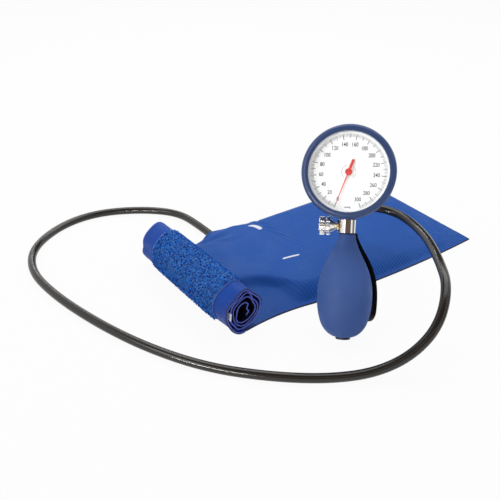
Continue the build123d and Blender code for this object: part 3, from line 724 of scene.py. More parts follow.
class Palette:
    """Every finish of the set."""

    CASE = Finish(
        "steel_blue_enamel", screen(56, 79, 130), 0.34, 0, 0.05, 16.0, 0.004, 1.2, specular=0.35, coat=0.1
    )
    BULB = DustyRubber("matt_blue_rubber", screen(71, 103, 172), 0.66, drift=0.05, grain=0.012, specular=0.25)
    SEAL = DustyRubber("black_seal_rubber", screen(30, 30, 32), 0.55, grain=0.01)
    CHROME = TurnedMetal(
        "polished_chrome", (0.80, 0.80, 0.82), 0.07, 1.0, 0.02, grain=0.0008, pose=STANCE.instrument()
    )
    KNOB = TurnedMetal(
        "tumbled_chrome", (0.92, 0.90, 0.88), 0.27, 1.0, 0.06, 4.0, grain=0.004, pose=STANCE.valve()
    )
    BUSH = TurnedMetal(
        "gilt_brass", (0.86, 0.70, 0.40), 0.16, 1.0, 0.04, 3.0, grain=0.002, pose=STANCE.valve()
    )
    SILVER = TurnedMetal(
        "satin_aluminium", (0.80, 0.81, 0.84), 0.30, 1.0, 0.03, grain=0.001, pose=STANCE.gauge()
    )
    STEEL = TurnedMetal(
        "turned_steel", (0.56, 0.56, 0.58), 0.26, 1.0, 0.05, 4.0, grain=0.003, pose=STANCE.gauge()
    )
    BRASS = RolledBrass("rolled_brass", (0.72, 0.52, 0.22), 0.28, 1.0, 0.06, 5.0, grain=0.006)
    BRONZE = RolledBrass("pressed_bronze", (0.62, 0.38, 0.18), 0.30, 1.0, 0.08, 6.0, grain=0.006)
    GLASS = ClearGlass("window_glass", (1.0, 1.0, 1.0), 0.0)
    DIAL = Finish("white_dial_enamel", screen(252, 252, 252), 0.42, 0, 0.008, 30.0, grain=0.002, specular=0.1)
    INK = Finish("dial_ink", screen(14, 14, 18), 0.5, 0, 0.15, 2.0, 0.004, 0.2, specular=0.1)
    FAINT_INK = Finish("faint_dial_ink", screen(88, 98, 106), 0.5, 0, 0.1, 2.0, grain=0.003, specular=0.1)
    RED = TippedEnamel("red_pointer_enamel", screen(206, 22, 2), 0.4, 0, 0.08, 5.0, grain=0.004)
    SPOON = Finish("black_moulded_plastic", screen(5, 5, 9), 0.32, 0, 0.2, 16.0, 0.005, 0.7, specular=0.08)
    # Navy enamel of the inlet valve at the bulb's foot, made much darker as painted shade.
    FLANGE = Finish("navy_valve_enamel_painted_shade", screen(16, 26, 58), 0.45, drift=0.1, grain=0.004, specular=0.3)
    HOSE = DustyRubber("black_hose_rubber", screen(40, 35, 30), 0.19, 0, 0.25, 30.0, grain=0.006, specks=0.02)
    NYLON = RibbedNylon("ribbed_blue_nylon", screen(38, 98, 191), 0.5, 0, 0.08, 40.0, specular=0.14, sheen=0.06)
    ROLLED = RibbedNylon("plain_blue_nylon", screen(19, 81, 188), 0.5, 0, 0.16, 30.0, specular=0.2, sheen=0.09)
    # The cloth deep inside the roll, painted near-black: painted shade; the cloth there is the same blue.
    LINING = RibbedNylon("painted_roll_shade", screen(8, 10, 30), 0.8, specular=0.1)
    # Light blue on the cloth's cut edges and the roll's hems: a painted highlight where the edges catch the
    # light.
    EDGE = Finish("painted_edge_highlight", screen(82, 100, 206), 0.7, drift=0.15, drift_size=3.0, grain=0.02)
    # Dark navy along the strip's edges and the roll's near end: partly a real binding, partly painted shade.
    PIPING = Finish("navy_binding_and_painted_shade", screen(10, 18, 62), 0.7, drift=0.2, drift_size=2.0, grain=0.03)
    # Dark base painted as shade in the gaps of the pile, with light tips painted as highlight.
    FLEECE = CurledPile("brushed_blue_loops", screen(0, 16, 92), 0.8, specular=0.12)
    LOOP = CurledThread("loop_thread", screen(0, 36, 152), 0.75, grain=0.02, specular=0.08, sheen=0.03)
    # A light-blue band round the loop patch: painted highlight where the fuzz at its edges catches the light.
    FRINGE = Finish("painted_fringe_highlight", screen(58, 100, 190), 0.7, drift=0.3, drift_size=1.5, grain=0.05, sheen=0.3)
    HOOKS = HookTape("blue_hook_tape", screen(12, 24, 70), 0.5)
    THREAD = Finish("blue_thread", screen(44, 72, 150), 0.6, 0, 0.2, 1.0, 0.02, 0.15)
    BLADDER = DustyRubber("bladder_rubber", screen(42, 42, 46), 0.6, grain=0.02)
    LABEL = Finish("white_woven_label", screen(240, 240, 242), 0.6, 0, 0.04, 16.0, 0.03, 0.25, sheen=0.2)
    PRINT = Finish("white_cloth_print", screen(236, 238, 244), 0.55, drift=0.08, drift_size=1.5, grain=0.02)


def link(name: str, data: bpy.types.ID) -> bpy.types.Object:
    """Put a new object in the scene.

    Args:
        name: Its name.
        data: What it shows: a mesh, a curve, a lamp or a camera.

    Returns:
        The object.
    """
    made = bpy.data.objects.new(name, data)
    bpy.context.scene.collection.objects.link(made)
    return made


class Draft:
    """Points and faces of one piece, in millimetres, before it is a mesh."""

    def __init__(self) -> None:
        """Start empty."""
        self.points: list[Vector] = []
        self.faces: list[tuple[int, ...]] = []
        self.map: list[Pair] = []

    def add(self, point: Vector, place: Pair = (0.0, 0.0)) -> int:
        """Add a point.

        Args:
            point: The point, in millimetres.
            place: Its place on the piece's own map, in metres.

        Returns:
            The point's number.
        """
        self.points.append(Vector(point))
        self.map.append(place)
        return len(self.points) - 1

    def grid(
        self,
        columns: int,
        rows: int,
        point: Callable[[int, int], Placed],
        closed: bool = False,
        flipped: bool = False,
    ) -> list[list[int]]:
        """Add a sheet of quads.

        Args:
            columns: How many columns of points.
            rows: How many rows of points.
            point: Gives the point and its map place at a column and row.
            closed: Whether the rows join up into a tube.
            flipped: Whether the faces look the other way.

        Returns:
            The point numbers by column and row.
        """
        numbers = [[self.add(*point(i, j)) for j in range(rows)] for i in range(columns)]
        for i in range(columns - 1):
            for j in range(rows if closed else rows - 1):
                k = (j + 1) % rows
                quad = (numbers[i][j], numbers[i + 1][j], numbers[i + 1][k], numbers[i][k])
                self.faces.append(quad[::-1] if flipped else quad)
        return numbers

    def tube(self, line: Sequence[Vector], radius: Callable[[int], float], sides: int) -> None:
        """Add a capped tube along a line.

        Args:
            line: Its points.
            radius: Gives the radius at each point.
            sides: How many sides it has.
        """
        frames = []
        normal = (line[1] - line[0]).orthogonal().normalized()
        for i, at in enumerate(line):
            along = (line[min(i + 1, len(line) - 1)] - line[max(i - 1, 0)]).normalized()
            normal = (normal - along * normal.dot(along)).normalized()
            frames.append((at, normal.copy(), along.cross(normal)))

        def ring(i: int, j: int) -> Placed:
            """One point of the tube.

            Args:
                i: The column.
                j: The row.

            Returns:
                The point and its place on the piece's map.
            """
            at, across, up = frames[i]
            angle = 2 * math.pi * j / sides
            out = across * math.cos(angle) + up * math.sin(angle)
            return at + out * radius(i), (i * MM, j * MM)

        numbers = self.grid(len(line), sides, ring, closed=True)
        self.faces.append(tuple(numbers[0]))
        self.faces.append(tuple(numbers[-1][::-1]))

    def piece(
        self,
        name: str,
        finish: Finish,
        slot: Slot,
        smooth: bool = True,
        thickness: float = 0.0,
        others: Sequence[Finish] = (),
        choose: Callable[[int], int] | None = None,
        rim: int = 0,
    ) -> bpy.types.Object:
        """Make the mesh, dress it and let it ride on the frame.

        Args:
            name: The piece's name.
            finish: What it is made of.
            slot: Not used.
            smooth: Whether it is smooth shaded.
            thickness: The cloth's thickness in millimetres, 0 for a closed piece.
            others: Further finishes.
            choose: Gives each face's finish, 0 for the first.
            rim: How many finishes further on the cloth's cut edge takes its own.

        Returns:
            The object.
        """
        mesh = bpy.data.meshes.new(name)
        mesh.from_pydata([p * MM for p in self.points], [], self.faces)
        layer = mesh.uv_layers.new(name="cloth")
        for loop in mesh.loops:
            layer.data[loop.index].uv = self.map[loop.vertex_index]
        mesh.polygons.foreach_set("use_smooth", [smooth] * len(mesh.polygons))
        mesh.update()
        made = link(name, mesh)
        for each in (finish, *others):
            mesh.materials.append(each.material)
        if choose:
            mesh.polygons.foreach_set("material_index", [choose(i) for i in range(len(mesh.polygons))])
        if thickness:
            wall = made.modifiers.new("wall", "SOLIDIFY")
            wall.thickness = thickness * MM
            wall.offset = 0.0
            wall.material_offset_rim = rim
        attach(made, Body.FRAME.value)
        log.info("made %s: %d points, %d faces", name, len(self.points), len(self.faces))
        return made


def dress(finish: Finish, *names: str) -> None:
    """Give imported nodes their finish.

    Args:
        finish: The finish.
        *names: The nodes' names.
    """
    for name in names:
        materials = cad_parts[name].data.materials
        materials.clear()
        materials.append(finish.material)
        log.info("dressed %s in %s", name, finish.name)


class Track:
    """A line of points that can be read by distance, and by direction over twice the reading."""

    reading: ClassVar[float] = 0.6

    def __init__(self, points: Sequence[Vector]) -> None:
        """Measure the line.

        Args:
            points: Its points, close together.
        """
        self.points = [Vector(p) for p in points]
        self.marks: list[float] = []
        self.reach = [0.0]
        for a, b in zip(self.points, self.points[1:]):
            self.reach.append(self.reach[-1] + (b - a).length)

    @property
    def length(self) -> float:
        """The line's length."""
        return self.reach[-1]

    def at(self, distance: float) -> Vector:
        """The point at a distance from the start.

        Args:
            distance: How far from the line's start.

        Returns:
            The point.
        """
        distance = min(max(distance, 0.0), self.length)
        i = min(max(bisect_right(self.reach, distance) - 1, 0), len(self.points) - 2)
        step = self.reach[i + 1] - self.reach[i]
        return self.points[i].lerp(self.points[i + 1], (distance - self.reach[i]) / step)

    def heading(self, distance: float) -> Vector:
        """The direction there, from just before it to just after it."""
        return (self.at(distance + self.reading) - self.at(distance - self.reading)).normalized()

    @classmethod
    def arc(cls, start: Pair, through: Pair, end: Pair, steps: int = 96) -> "Track":
        """An arc through three points of the table.

        Args:
            start: Its first point.
            through: A point on it.
            end: Its last point.
            steps: How many parts it is cut into.

        Returns:
            The arc's line.
        """
        a, b, c = (Vector(p) for p in (start, through, end))
        u, v = b - a, c - a
        cross = 2 * (u.x * v.y - u.y * v.x)
        centre = a + Vector(
            (v.y * u.length_squared - u.y * v.length_squared, u.x * v.length_squared - v.x * u.length_squared)
        ) / cross
        first = math.atan2(a.y - centre.y, a.x - centre.x)
        sweep = (math.atan2(c.y - centre.y, c.x - centre.x) - first) % (2 * math.pi)
        if cross < 0:
            sweep -= 2 * math.pi
        radius = (a - centre).length
        turns = [first + sweep * i / steps for i in range(steps + 1)]
        x, y = centre
        return cls([Vector((x + radius * math.cos(t), y + radius * math.sin(t), 0)) for t in turns])

    @classmethod
    def through(cls, points: Sequence[Pair], steps: int = 10) -> "Track":
        """A smooth line through points, in their own plane.

        Args:
            points: The points it passes.
            steps: How many parts each stretch is cut into.

        Returns:
            The line, with `marks` holding the distance at each point.
        """
        p = [Vector((*q, 0)) for q in points]
        p = [p[0] * 2 - p[1], *p, p[-1] * 2 - p[-2]]
        line: list[Vector] = []
        for k in range(1, len(p) - 2):
            for i in range(steps):
                t = i / steps
                line.append(
                    0.5
                    * (
                        p[k] * 2
                        + (p[k + 1] - p[k - 1]) * t
                        + (p[k - 1] * 2 - p[k] * 5 + p[k + 1] * 4 - p[k + 2]) * t * t
                        + (p[k] * 3 - p[k - 1] - p[k + 1] * 3 + p[k + 2]) * t**3
                    )
                )
        line.append(p[-2])
        made = cls(line)
        made.marks = [made.reach[i * steps] for i in range(len(points))]
        return made


@dataclass
class PhotoCamera:
    """The camera, where the photograph was taken from."""

    position: Triple = (-72.0, -541.5, 318.46)
    pitch: float = 31.24
    lens: float = 45.0
    sensor: float = 36.0
    nearest: float = 10.0

    def build(self) -> None:
        """Make the camera and use it."""
        data = bpy.data.cameras.new("camera")
        data.lens = self.lens
        data.sensor_width = self.sensor
        data.clip_start = self.nearest * MM
        camera = link("camera", data)
        camera.location = Vector(self.position) * MM
        camera.rotation_euler = Euler((math.radians(90 - self.pitch), 0, 0))
        bpy.context.scene.camera = camera
        log.info("camera placed")


@dataclass
class Hose:
    """The hose from the connector's nozzle, round behind the gauge, to the cuff."""

    diameter: float = 7.6
    length: float = 980.0
    route: tuple[Triple, ...] = (
        (5.164, -107.585, 77.362), (8.716, -86.631, 66.212), (10, -63, 60.3), (10.3, -45, 57),
        (19.2, -29.6, 53.8), (34.9, -21.6, 51), (52.1, -23.2, 48.8), (64.2, -30.7, 48),
        (72.5, -45, 47.6), (76.9, -66, 49.6), (78.6, -92.2, 52.7), (76.5, -127, 57), (75.2, -158, 54.5),
        (65, -184, 38.5), (46, -195, 20), (20, -199, 6.5), (-14, -203, 4), (-56, -201, 4),
        (-104, -191, 4), (-152, -168, 4), (-197, -137, 4), (-241, -99, 4), (-273, -61, 4),
        (-284, -19, 4), (-268, 26, 4), (-237, 53.5, 4), (-192, 61.8, 4), (-150, 54.5, 4.2),
        (-123.98, 23.055, 5.4), (-106.06, -3.457, 5.4),
    )

    def build(self) -> None:
        data = bpy.data.curves.new("hose_line", "CURVE")
        data.dimensions = "3D"
        data.bevel_depth = self.diameter / 2 * MM
        data.bevel_resolution = 7
        data.resolution_u = 14
        data.use_fill_caps = True
        spline = data.splines.new("NURBS")
        spline.points.add(len(self.route) - 1)
        for point, at in zip(spline.points, self.route):
            point.co = (*(Vector(at) * MM), 1.0)
        spline.order_u = 3
        spline.use_endpoint_u = True
        data.materials.append(Palette.HOSE.material)
        hose = link("air_hose", data)
        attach(hose, Body.FRAME.value)
        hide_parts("hose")
        Vector(self.route[0]) * MM
        log.info("made the hose")


@dataclass
class GaugeHead:
    """The case, its window and its dial.

    Attributes:
        dial_top: The dial's face above the gauge's middle.
        tick_reach: The scale's radius.
        strokes: Every how many units a stroke stands, its length and its width, the longest first.
        arcs: Radius, width, first and last degree of each thin line.
        arc_step: The degrees that one straight piece of a line spans.
        print_low: The foot of the print above the dial's face.
        print_high: Its top.
        number_radius: Where the numbers stand.
        end_shift: How much further out the first and the last number stand.
        number_height: How high they are.
        number_narrow: The width share of their figures.
        unit_at: How far above the hub the unit stands.
        unit_height: How high it is.
        unit_narrow: The width share of its letters.
        figure_share: The height of a figure in a letter size of 1.
        boldness: How much fatter the letters' strokes are.
        zero_angle: The angle of the reading 0, clockwise from the top.
        sweep: The angle from 0 to the last reading.
        scale_end: The last reading.
    """

    dial_top: float = 12.0
    tick_reach: float = 28.6
    strokes: tuple[Triple, ...] = ((20, 4.0, 0.48), (10, 3.0, 0.42), (2, 2.0, 0.27))
    arcs: tuple[tuple[Pair, Pair], ...] = (
        ((5.4, 0.24), (40, 145)),
        ((5.4, 0.24), (215, 345)),
        ((28.9, 0.12), (-161, 161)),
    )
    arc_step: float = 3.0
    print_low: float = 0.005
    print_high: float = 0.03
    number_radius: float = 20.9
    end_shift: float = 1.1
    number_height: float = 3.1
    number_narrow: float = 0.80
    unit_at: float = -26.6
    unit_height: float = 1.25
    unit_narrow: float = 0.95
    figure_share: float = 0.72
    boldness: float = 0.07
    zero_angle: float = -160.0
    sweep: float = 320.0
    scale_end: int = 300

    def build(self) -> None:
        """Dress the case and print the dial."""
        dress(Palette.CASE, "gauge_case", "bezel_ring")
        dress(Palette.GLASS, "lens")
        dress(Palette.SILVER, "lens_spacer_ring")
        dress(Palette.DIAL, "dial")
        dress(Palette.RED, "pointer")
        self.ticks()
        self.rings()
        self.numbers()

    def angle(self, value: float) -> float:
        """The angle of a reading, clockwise from the top, in radians."""
        return math.radians(self.zero_angle + self.sweep * value / self.scale_end)

    def on_dial(self, x: float, y: float, lift: float) -> Vector:
        """A place on the dial's face, in the model's frame, in millimetres."""
        return STANCE.gauge() @ (Vector((x, y, self.dial_top + lift)) * MM) / MM

    def stroke(self, draft: Draft, corners: Sequence[Sequence[float]]) -> None:
        """Add a flat printed shape, a hair thick.

        Args:
            draft: Takes its points and faces.
            corners: Its corners, right of the hub and above it.
        """
        lifts = (self.print_low, self.print_high)
        low, high = ([draft.add(self.on_dial(x, y, lift)) for x, y in corners] for lift in lifts)
        draft.faces.append(tuple(high))
        for i in range(len(corners)):
            k = (i + 1) % len(corners)
            draft.faces.append((low[i], low[k], high[k], high[i]))

    def ticks(self) -> None:
        """The scale's strokes."""
        draft = Draft()
        for value in range(0, self.scale_end + 1, 2):
            length, width = next((long, wide) for every, long, wide in self.strokes if value % every == 0)
            a = self.angle(value)
            out, side = Vector((math.sin(a), math.cos(a))), Vector((math.cos(a), -math.sin(a))) * width / 2
            far, near = out * self.tick_reach, out * (self.tick_reach - length)
            self.stroke(draft, [far + side, near + side, near - side, far - side])
        draft.piece("dial_ticks", Palette.INK, Slot.DIAL, smooth=False)

    def rings(self) -> None:
        """The thin circle round the hub, open at both sides, and the scale's outer line."""
        draft = Draft()
        for (radius, width), (start, end) in self.arcs:
            steps = int((end - start) / self.arc_step)
            for i in range(steps):
                a, b = (math.radians(start + (end - start) * k / steps) for k in (i, i + 1))
                r0, r1 = radius - width / 2, radius + width / 2
                corners = [(r * math.sin(t), r * math.cos(t)) for r, t in ((r0, a), (r0, b), (r1, b), (r1, a))]
                self.stroke(draft, corners)
        draft.piece("dial_rings", Palette.FAINT_INK, Slot.DIAL, smooth=False)

    def text(self, draft: Draft, words: str, x: float, y: float, height: float, narrow: float) -> None:
        """Print words on the dial.

        Args:
            draft: Takes the letters' faces.
            words: What is printed.
            x: The middle, right of the hub.
            y: The middle, above the hub.
            height: The height of a figure.
            narrow: The letters' width share.
        """
        curve = bpy.data.curves.new("letters", "FONT")
        curve.body = words
        curve.size = height / self.figure_share
        curve.offset = self.boldness
        curve.align_x = "CENTER"
        curve.align_y = "CENTER"
        curve.resolution_u = 3
        carrier = link("letters", curve)
        bpy.context.view_layer.update()
        mesh = bpy.data.meshes.new_from_object(carrier.evaluated_get(bpy.context.evaluated_depsgraph_get()))
        places = [(x + v.co.x * narrow, y + v.co.y) for v in mesh.vertices]
        numbers = [draft.add(self.on_dial(*place, self.print_high)) for place in places]
        draft.faces.extend(tuple(numbers[i] for i in p.vertices) for p in mesh.polygons)
        bpy.data.objects.remove(carrier)
        bpy.data.meshes.remove(mesh)

    def numbers(self) -> None:
        """The readings every 20 and the unit."""
        draft = Draft()
        for value in range(0, self.scale_end + 1, 20):
            a = self.angle(value)
            reach = self.number_radius + (self.end_shift if value in (0, self.scale_end) else 0.0)
            x, y = reach * math.sin(a), reach * math.cos(a)
            self.text(draft, str(value), x, y, self.number_height, self.number_narrow)
        draft.piece("dial_numbers", Palette.INK, Slot.DIAL, smooth=False)
        unit = Draft()
        self.text(unit, "mmHg", 0.0, self.unit_at, self.unit_height, self.unit_narrow)
        unit.piece("dial_unit", Palette.FAINT_INK, Slot.DIAL, smooth=False)


class Movement:
    """The clockwork behind the dial."""

    def build(self) -> None:
        """Dress every part of it."""
        dress(Palette.BRASS, "hairspring_stud", "sector_gear", "movement_rear_plate", "movement_front_plate")
        dress(Palette.BRASS, "movement_pillars", "capsule_stud", "capsule_post", "inlet_manifold", "case_posts")
        dress(Palette.STEEL, "pinion_arbor", "plate_screws", "rocker", "case_screws")
        dress(Palette.BRONZE, "capsule", "hairspring")


class ConnectorAndBulb:
    """The chrome block with its valves, the bulb, the hand spoon and the joiner at the hose's far end."""

    def build(self) -> None:
        """Dress every part of it."""
        dress(Palette.CHROME, "connector_block", "hose_nozzle")
        dress(Palette.FLANGE, "inlet_valve_body")
        dress(Palette.BUSH, "valve_bush")
        dress(Palette.KNOB, "release_spindle", "release_knob")
        dress(Palette.STEEL, "needle_seal")
        dress(Palette.SEAL, "gland_ring", "outlet_valve_disc", "inlet_valve_disc")
        dress(Palette.BRASS, "outlet_valve_seat", "outlet_valve_stop", "inlet_valve_cage")
        dress(Palette.BULB, "bulb")
        dress(Palette.SPOON, "hand_spoon", "bladder_joiner")


@dataclass
class CuffStrip:
    """The cuff's shape: a flat strip on the table whose left end is rolled up.

    A place on the flat part is given by u, 0 at the roll and 1 at the free end, and v, 0 at the
    near edge and 1 at the far one. A place in the roll is given by its distance along the roll's
    line and v. A step is given by where it starts and its length.

    Attributes:
        width: The strip's width.
        roll_near: The table's point under the roll's near end.
        roll_heading: The direction out of the roll, in degrees.
        near_edge: Points that the near edge passes after that one.
        far_edge: A point that the far edge passes.
        corner_near: The free end's near corner.
        corner_far: Its far corner.
        flat_run: The flat part's length, which turns u into millimetres.
        cloth: The cloth's thickness.
        half_gap: From the middle between the two cloths to either.
        middle: The height of that middle on the table.
        hems: How wide the near and the far edge lie flat.
        ridge: The padding's height, by u.
        near_run: Its way up from the near hem, by u.
        far_run: Its way down to the far hem, by u.
        slope: The height share along the near way up, beside the roll.
        slope_end: The step along u to the plain way up.
        swells: The height and the turns per millimetre of the padding's slow waves.
        crease_at: Where the fold past the hose's end crosses, as u.
        crease_bend: How far it bends back at the near edge.
        crease_straight: The v from which it runs straight.
        crease_step: Its step along v.
        crease_form: The height, place and width of its lip and its groove.
        folds: Height, width, v, u and slant of the short folds at the hose's end.
        folds_start: Their step along u.
        folds_end: Their step back.
        hose_entry: The table's point under the hose's end.
        hose_inward: The hose's direction there.
        hump_line: The height across the hose's end.
        hump_share: The share of it along the hose.
        hump_blend: The height over which it blends with the cloth.
        roll_line: The roll's end seen along its axis, from the table inwards.
        crumple: How deep the roll's near end is crumpled.
        crumple_waves: The crumples' turns per millimetre along the cloth, and over its width.
        crumple_end: The v where they end.
        crumple_step: Their step along the roll's line.
        bulge: How much the roll's left side bulges at its near end, and how much more further in.
        bulge_reach: The v from which it bulges fully.
        tuck: How much of that is tucked in at the upper far end.
        tuck_up: The tuck's step upwards.
        tuck_across: Its step along v.
        swell: How much higher the roll is in its middle.
        swell_up: That swell's step upwards.
        wave: The height of the waves on the roll.
        wave_turns: Their turns over the width, and per millimetre along the cloth.
        wave_up: Their step upwards.
        lining_mark: The point of the roll's line from which the cloth deep inside the roll is painted
            near-black as painted shade.
        flat_columns: The cloths' columns of points on the flat part.
        roll_step: From column to column in the roll.
    """

    width: float = 137.0
    roll_near: Pair = (-76.2, -144.4)
    roll_heading: float = 36.4
    near_edge: tuple[Pair, ...] = ((-52.0, -124.8), (-17.0, -105.4), (58.0, -61.0))
    far_edge: Pair = (-38.9, 59.0)
    corner_near: Pair = (148.8, 3.6)
    corner_far: Pair = (68.8, 132.6)
    flat_run: float = 275.0
    cloth: float = 0.45
    half_gap: float = 0.38
    middle: float = 0.72
    hems: Pair = (4.0, 3.0)
    ridge: tuple[Pair, ...] = (
        (0.0, 0.0), (0.03, 2.6), (0.06, 8.0), (0.09, 10.6), (0.16, 11.8), (0.27, 12.6), (0.34, 11.8),
        (0.42, 10.4), (0.55, 10.0), (0.70, 8.4), (0.85, 5.8), (0.95, 2.8), (1.0, 0.0),
    )
    near_run: tuple[Pair, ...] = (
        (0.0, 62.0), (0.146, 45.0), (0.173, 40.0), (0.196, 34.0), (0.225, 26.0), (0.25, 17.0),
        (0.30, 14.0), (1.0, 14.0),
    )
    far_run: tuple[Pair, ...] = ((0.0, 30.0), (0.12, 18.0), (0.20, 8.5), (0.29, 8.5), (0.35, 14.0), (1.0, 11.0))
    slope: tuple[Pair, ...] = (
        (0.0, 0.0), (0.25, 0.14), (0.50, 0.27), (0.66, 0.34), (0.80, 0.40), (0.88, 0.70), (0.94, 0.96),
        (1.0, 1.0),
    )
    slope_end: Pair = (0.20, 0.06)
    swells: tuple[Pair, ...] = ((0.7, 0.035), (0.35, 0.11))
    crease_at: float = 0.388
    crease_bend: float = 0.2
    crease_straight: float = 0.85
    crease_step: Pair = (0.36, 0.3)
    crease_form: tuple[Triple, ...] = ((0.7, -6.0, 6.0), (-2.2, 1.2, 2.3))
    folds: tuple[tuple[float, ...], ...] = (
        (-2.7, 3.3, 0.879, 0.15, 0.25), (1.3, 3.6, 0.838, 0.15, 0.4), (-1.6, 3.0, 0.80, 0.2, 0.9),
    )
    folds_start: Pair = (0.11, 0.04)
    folds_end: Pair = (0.27, -0.06)
    hose_entry: Pair = (-111.1, 4.0)
    hose_inward: Pair = (0.56, -0.8285)
    hump_line: tuple[Pair, ...] = (
        (-13.0, 0.0), (-6.0, 6.4), (0.0, 8.5), (5.0, 7.6), (14.0, 6.2), (26.0, 4.4), (40.0, 0.0),
    )
    hump_share: tuple[Pair, ...] = (
        (-8.0, 0.86), (0.0, 0.94), (8.0, 1.0), (26.0, 1.0), (52.0, 0.6), (80.0, 0.0),
    )
    hump_blend: float = 1.2
    roll_line: tuple[Pair, ...] = (
        (0.0, 0.72), (-5.5, 1.9), (-10.6, 6.6), (-14.4, 13.6), (-16.2, 20.5), (-15.9, 27.0),
        (-13.2, 31.8), (-8.9, 35.6), (-4.2, 38.6), (0.6, 40.0), (4.6, 38.4), (8.6, 34.2), (12.4, 29.2),
        (15.3, 23.6), (15.8, 18.6), (13.6, 14.2), (9.6, 10.2), (4.4, 6.6), (-1.2, 4.9), (-6.4, 6.3),
        (-10.0, 10.9), (-12.4, 16.6), (-13.7, 22.6), (-12.9, 28.3), (-9.6, 32.3), (-5.2, 34.9),
        (-0.8, 37.0), (2.4, 36.9), (5.8, 34.4), (8.0, 30.8), (10.6, 26.9), (12.9, 22.6), (12.8, 17.8),
        (10.2, 13.8), (6.2, 10.4), (1.0, 7.9), (-4.0, 8.4), (-8.0, 12.0), (-10.4, 17.4), (-11.1, 23.0),
        (-9.9, 28.0), (-6.2, 31.6), (-1.4, 33.7), (4.0, 32.6), (8.0, 28.8), (10.0, 23.8), (9.6, 18.8),
        (7.0, 14.6), (2.8, 11.6), (-1.6, 10.8), (-5.4, 12.8), (-7.6, 17.2), (-7.9, 22.0), (-6.4, 26.4),
        (-3.0, 29.2), (0.8, 29.4), (3.2, 26.6), (2.2, 22.8), (4.2, 19.6), (1.2, 16.6),
    )
    crumple: float = 1.6
    crumple_waves: Pair = (0.10, 6.0)
    crumple_end: float = 0.16
    crumple_step: Pair = (14.0, 14.0)
    bulge: Pair = (0.04, 0.16)
    bulge_reach: float = 0.22
    tuck: float = 1.4
    tuck_up: Pair = (13.0, 9.0)
    tuck_across: Pair = (0.6, 0.35)
    swell: float = 0.9
    swell_up: Pair = (8.0, 20.0)
    wave: float = 0.35
    wave_turns: Pair = (3.0, 0.05)
    wave_up: Pair = (6.0, 10.0)
    lining_mark: int = 14
    flat_columns: int = 150
    roll_step: float = 1.5

    def __post_init__(self) -> None:
        """Work out the edges and the roll's line."""
        turn = math.radians(self.roll_heading)
        self.across = Vector((math.cos(turn), math.sin(turn), 0))
        self.axis = Vector((-self.across.y, self.across.x, 0))
        self.origin = Vector((*self.roll_near, 0))
        far_start = self.origin + self.axis * self.width
        bend, joint, middle = self.near_edge
        first, second = Track.arc(self.roll_near, bend, joint), Track.arc(joint, middle, self.corner_near)
        self.near = Track(first.points + second.points[1:])
        self.far = Track.arc((far_start.x, far_start.y), self.far_edge, self.corner_far)
        self.line = Track.through(self.roll_line)

    def stations(self) -> list[Pair]:
        """Where the cloths' columns stand: the place, and the distance from the free end.

        Returns:
            Both for every column, from the free end to the middle of the roll.
        """
        reach = self.near.length
        flat = [1 - i / self.flat_columns for i in range(self.flat_columns)]
        found = [(u, (1 - u) * reach) for u in flat]
        count = int(self.line.length / self.roll_step)
        step = self.line.length / count
        found += [(-i * step, reach + i * step) for i in range(count + 1)]
        return [(a if a else -1e-6, d) for a, d in found]

    def reach(self, marks: tuple[int, int]) -> Pair:
        """The distances along the roll's line of two of its points."""
        return self.line.marks[marks[0]], self.line.marks[marks[1]]

    def flat(self, u: float, v: float) -> Vector:
        """A place on the table under the flat part."""
        return self.near.at(u * self.near.length).lerp(self.far.at(u * self.far.length), v)

    def crown(self, u: float, v: float) -> float:
        """How far the upper cloth stands above where it lies flat.

        Args:
            u: Along the strip, 0 at the roll.
            v: Across it, 0 at the near edge.

        Returns:
            The height in millimetres.
        """
        at = self.flat(u, v)
        from_near, from_far = v * self.width - self.hems[0], (1 - v) * self.width - self.hems[1]
        into = min(1.0, max(0.0, from_near / table_at(self.near_run, u)))
        steep = table_at(self.slope, into)
        plain = 1 - (1 - into) ** 2
        rise_near = steep + (plain - steep) * ramp(u, *self.slope_end)
        rise_far = 1 - (1 - min(1.0, max(0.0, from_far / table_at(self.far_run, u)))) ** 2
        share = rise_near * rise_far
        height = table_at(self.ridge, u) * share
        height += share * sum(tall * noise.noise(at * turns) for tall, turns in self.swells)
        height += self.crease(u, v) * share
        height += self.wrinkles(u, v)
        return max(0.0, height, self.hump(at, height))

    def crease(self, u: float, v: float) -> float:
        """The fold across the strip past the bladder's hose end.

        Args:
            u: Along the strip, 0 at the roll.
            v: Across it, 0 at the near edge.

        Returns:
            Its height in millimetres.
        """
        bend = self.crease_bend * max(0.0, self.crease_straight - v) ** 2
        away = (u - (self.crease_at + bend)) * self.flat_run
        form = sum(tall * bell(away - at, wide) for tall, at, wide in self.crease_form)
        return ramp(v, *self.crease_step) * form

    def wrinkles(self, u: float, v: float) -> float:
        """The short folds that run out from the hose's end.

        Args:
            u: Along the strip, 0 at the roll.
            v: Across it, 0 at the near edge.

        Returns:
            Their height in millimetres.
        """
        reach = ramp(u, *self.folds_start) * ramp(u, *self.folds_end)
        return reach * sum(
            tall * bell((v - across + (u - along) * slant) * self.width, wide)
            for tall, wide, across, along, slant in self.folds
        )

    def hump(self, at: Vector, height: float) -> float:
        """The cloth lifted over the hose's end.

        Args:
            at: The place on the table.
            height: The cloth's height without the hose.

        Returns:
            The height with the hose under it.
        """
        gone = Vector((at.x - self.hose_entry[0], at.y - self.hose_entry[1]))
        inward = Vector(self.hose_inward)
        forward = gone.dot(inward)
        sideways = gone.dot(Vector((-inward.y, inward.x)))
        raised = table_at(self.hump_line, sideways) * table_at(self.hump_share, forward)
        over = eased((raised - height + self.hump_blend) / (2 * self.hump_blend))
        return height + (raised - height) * over

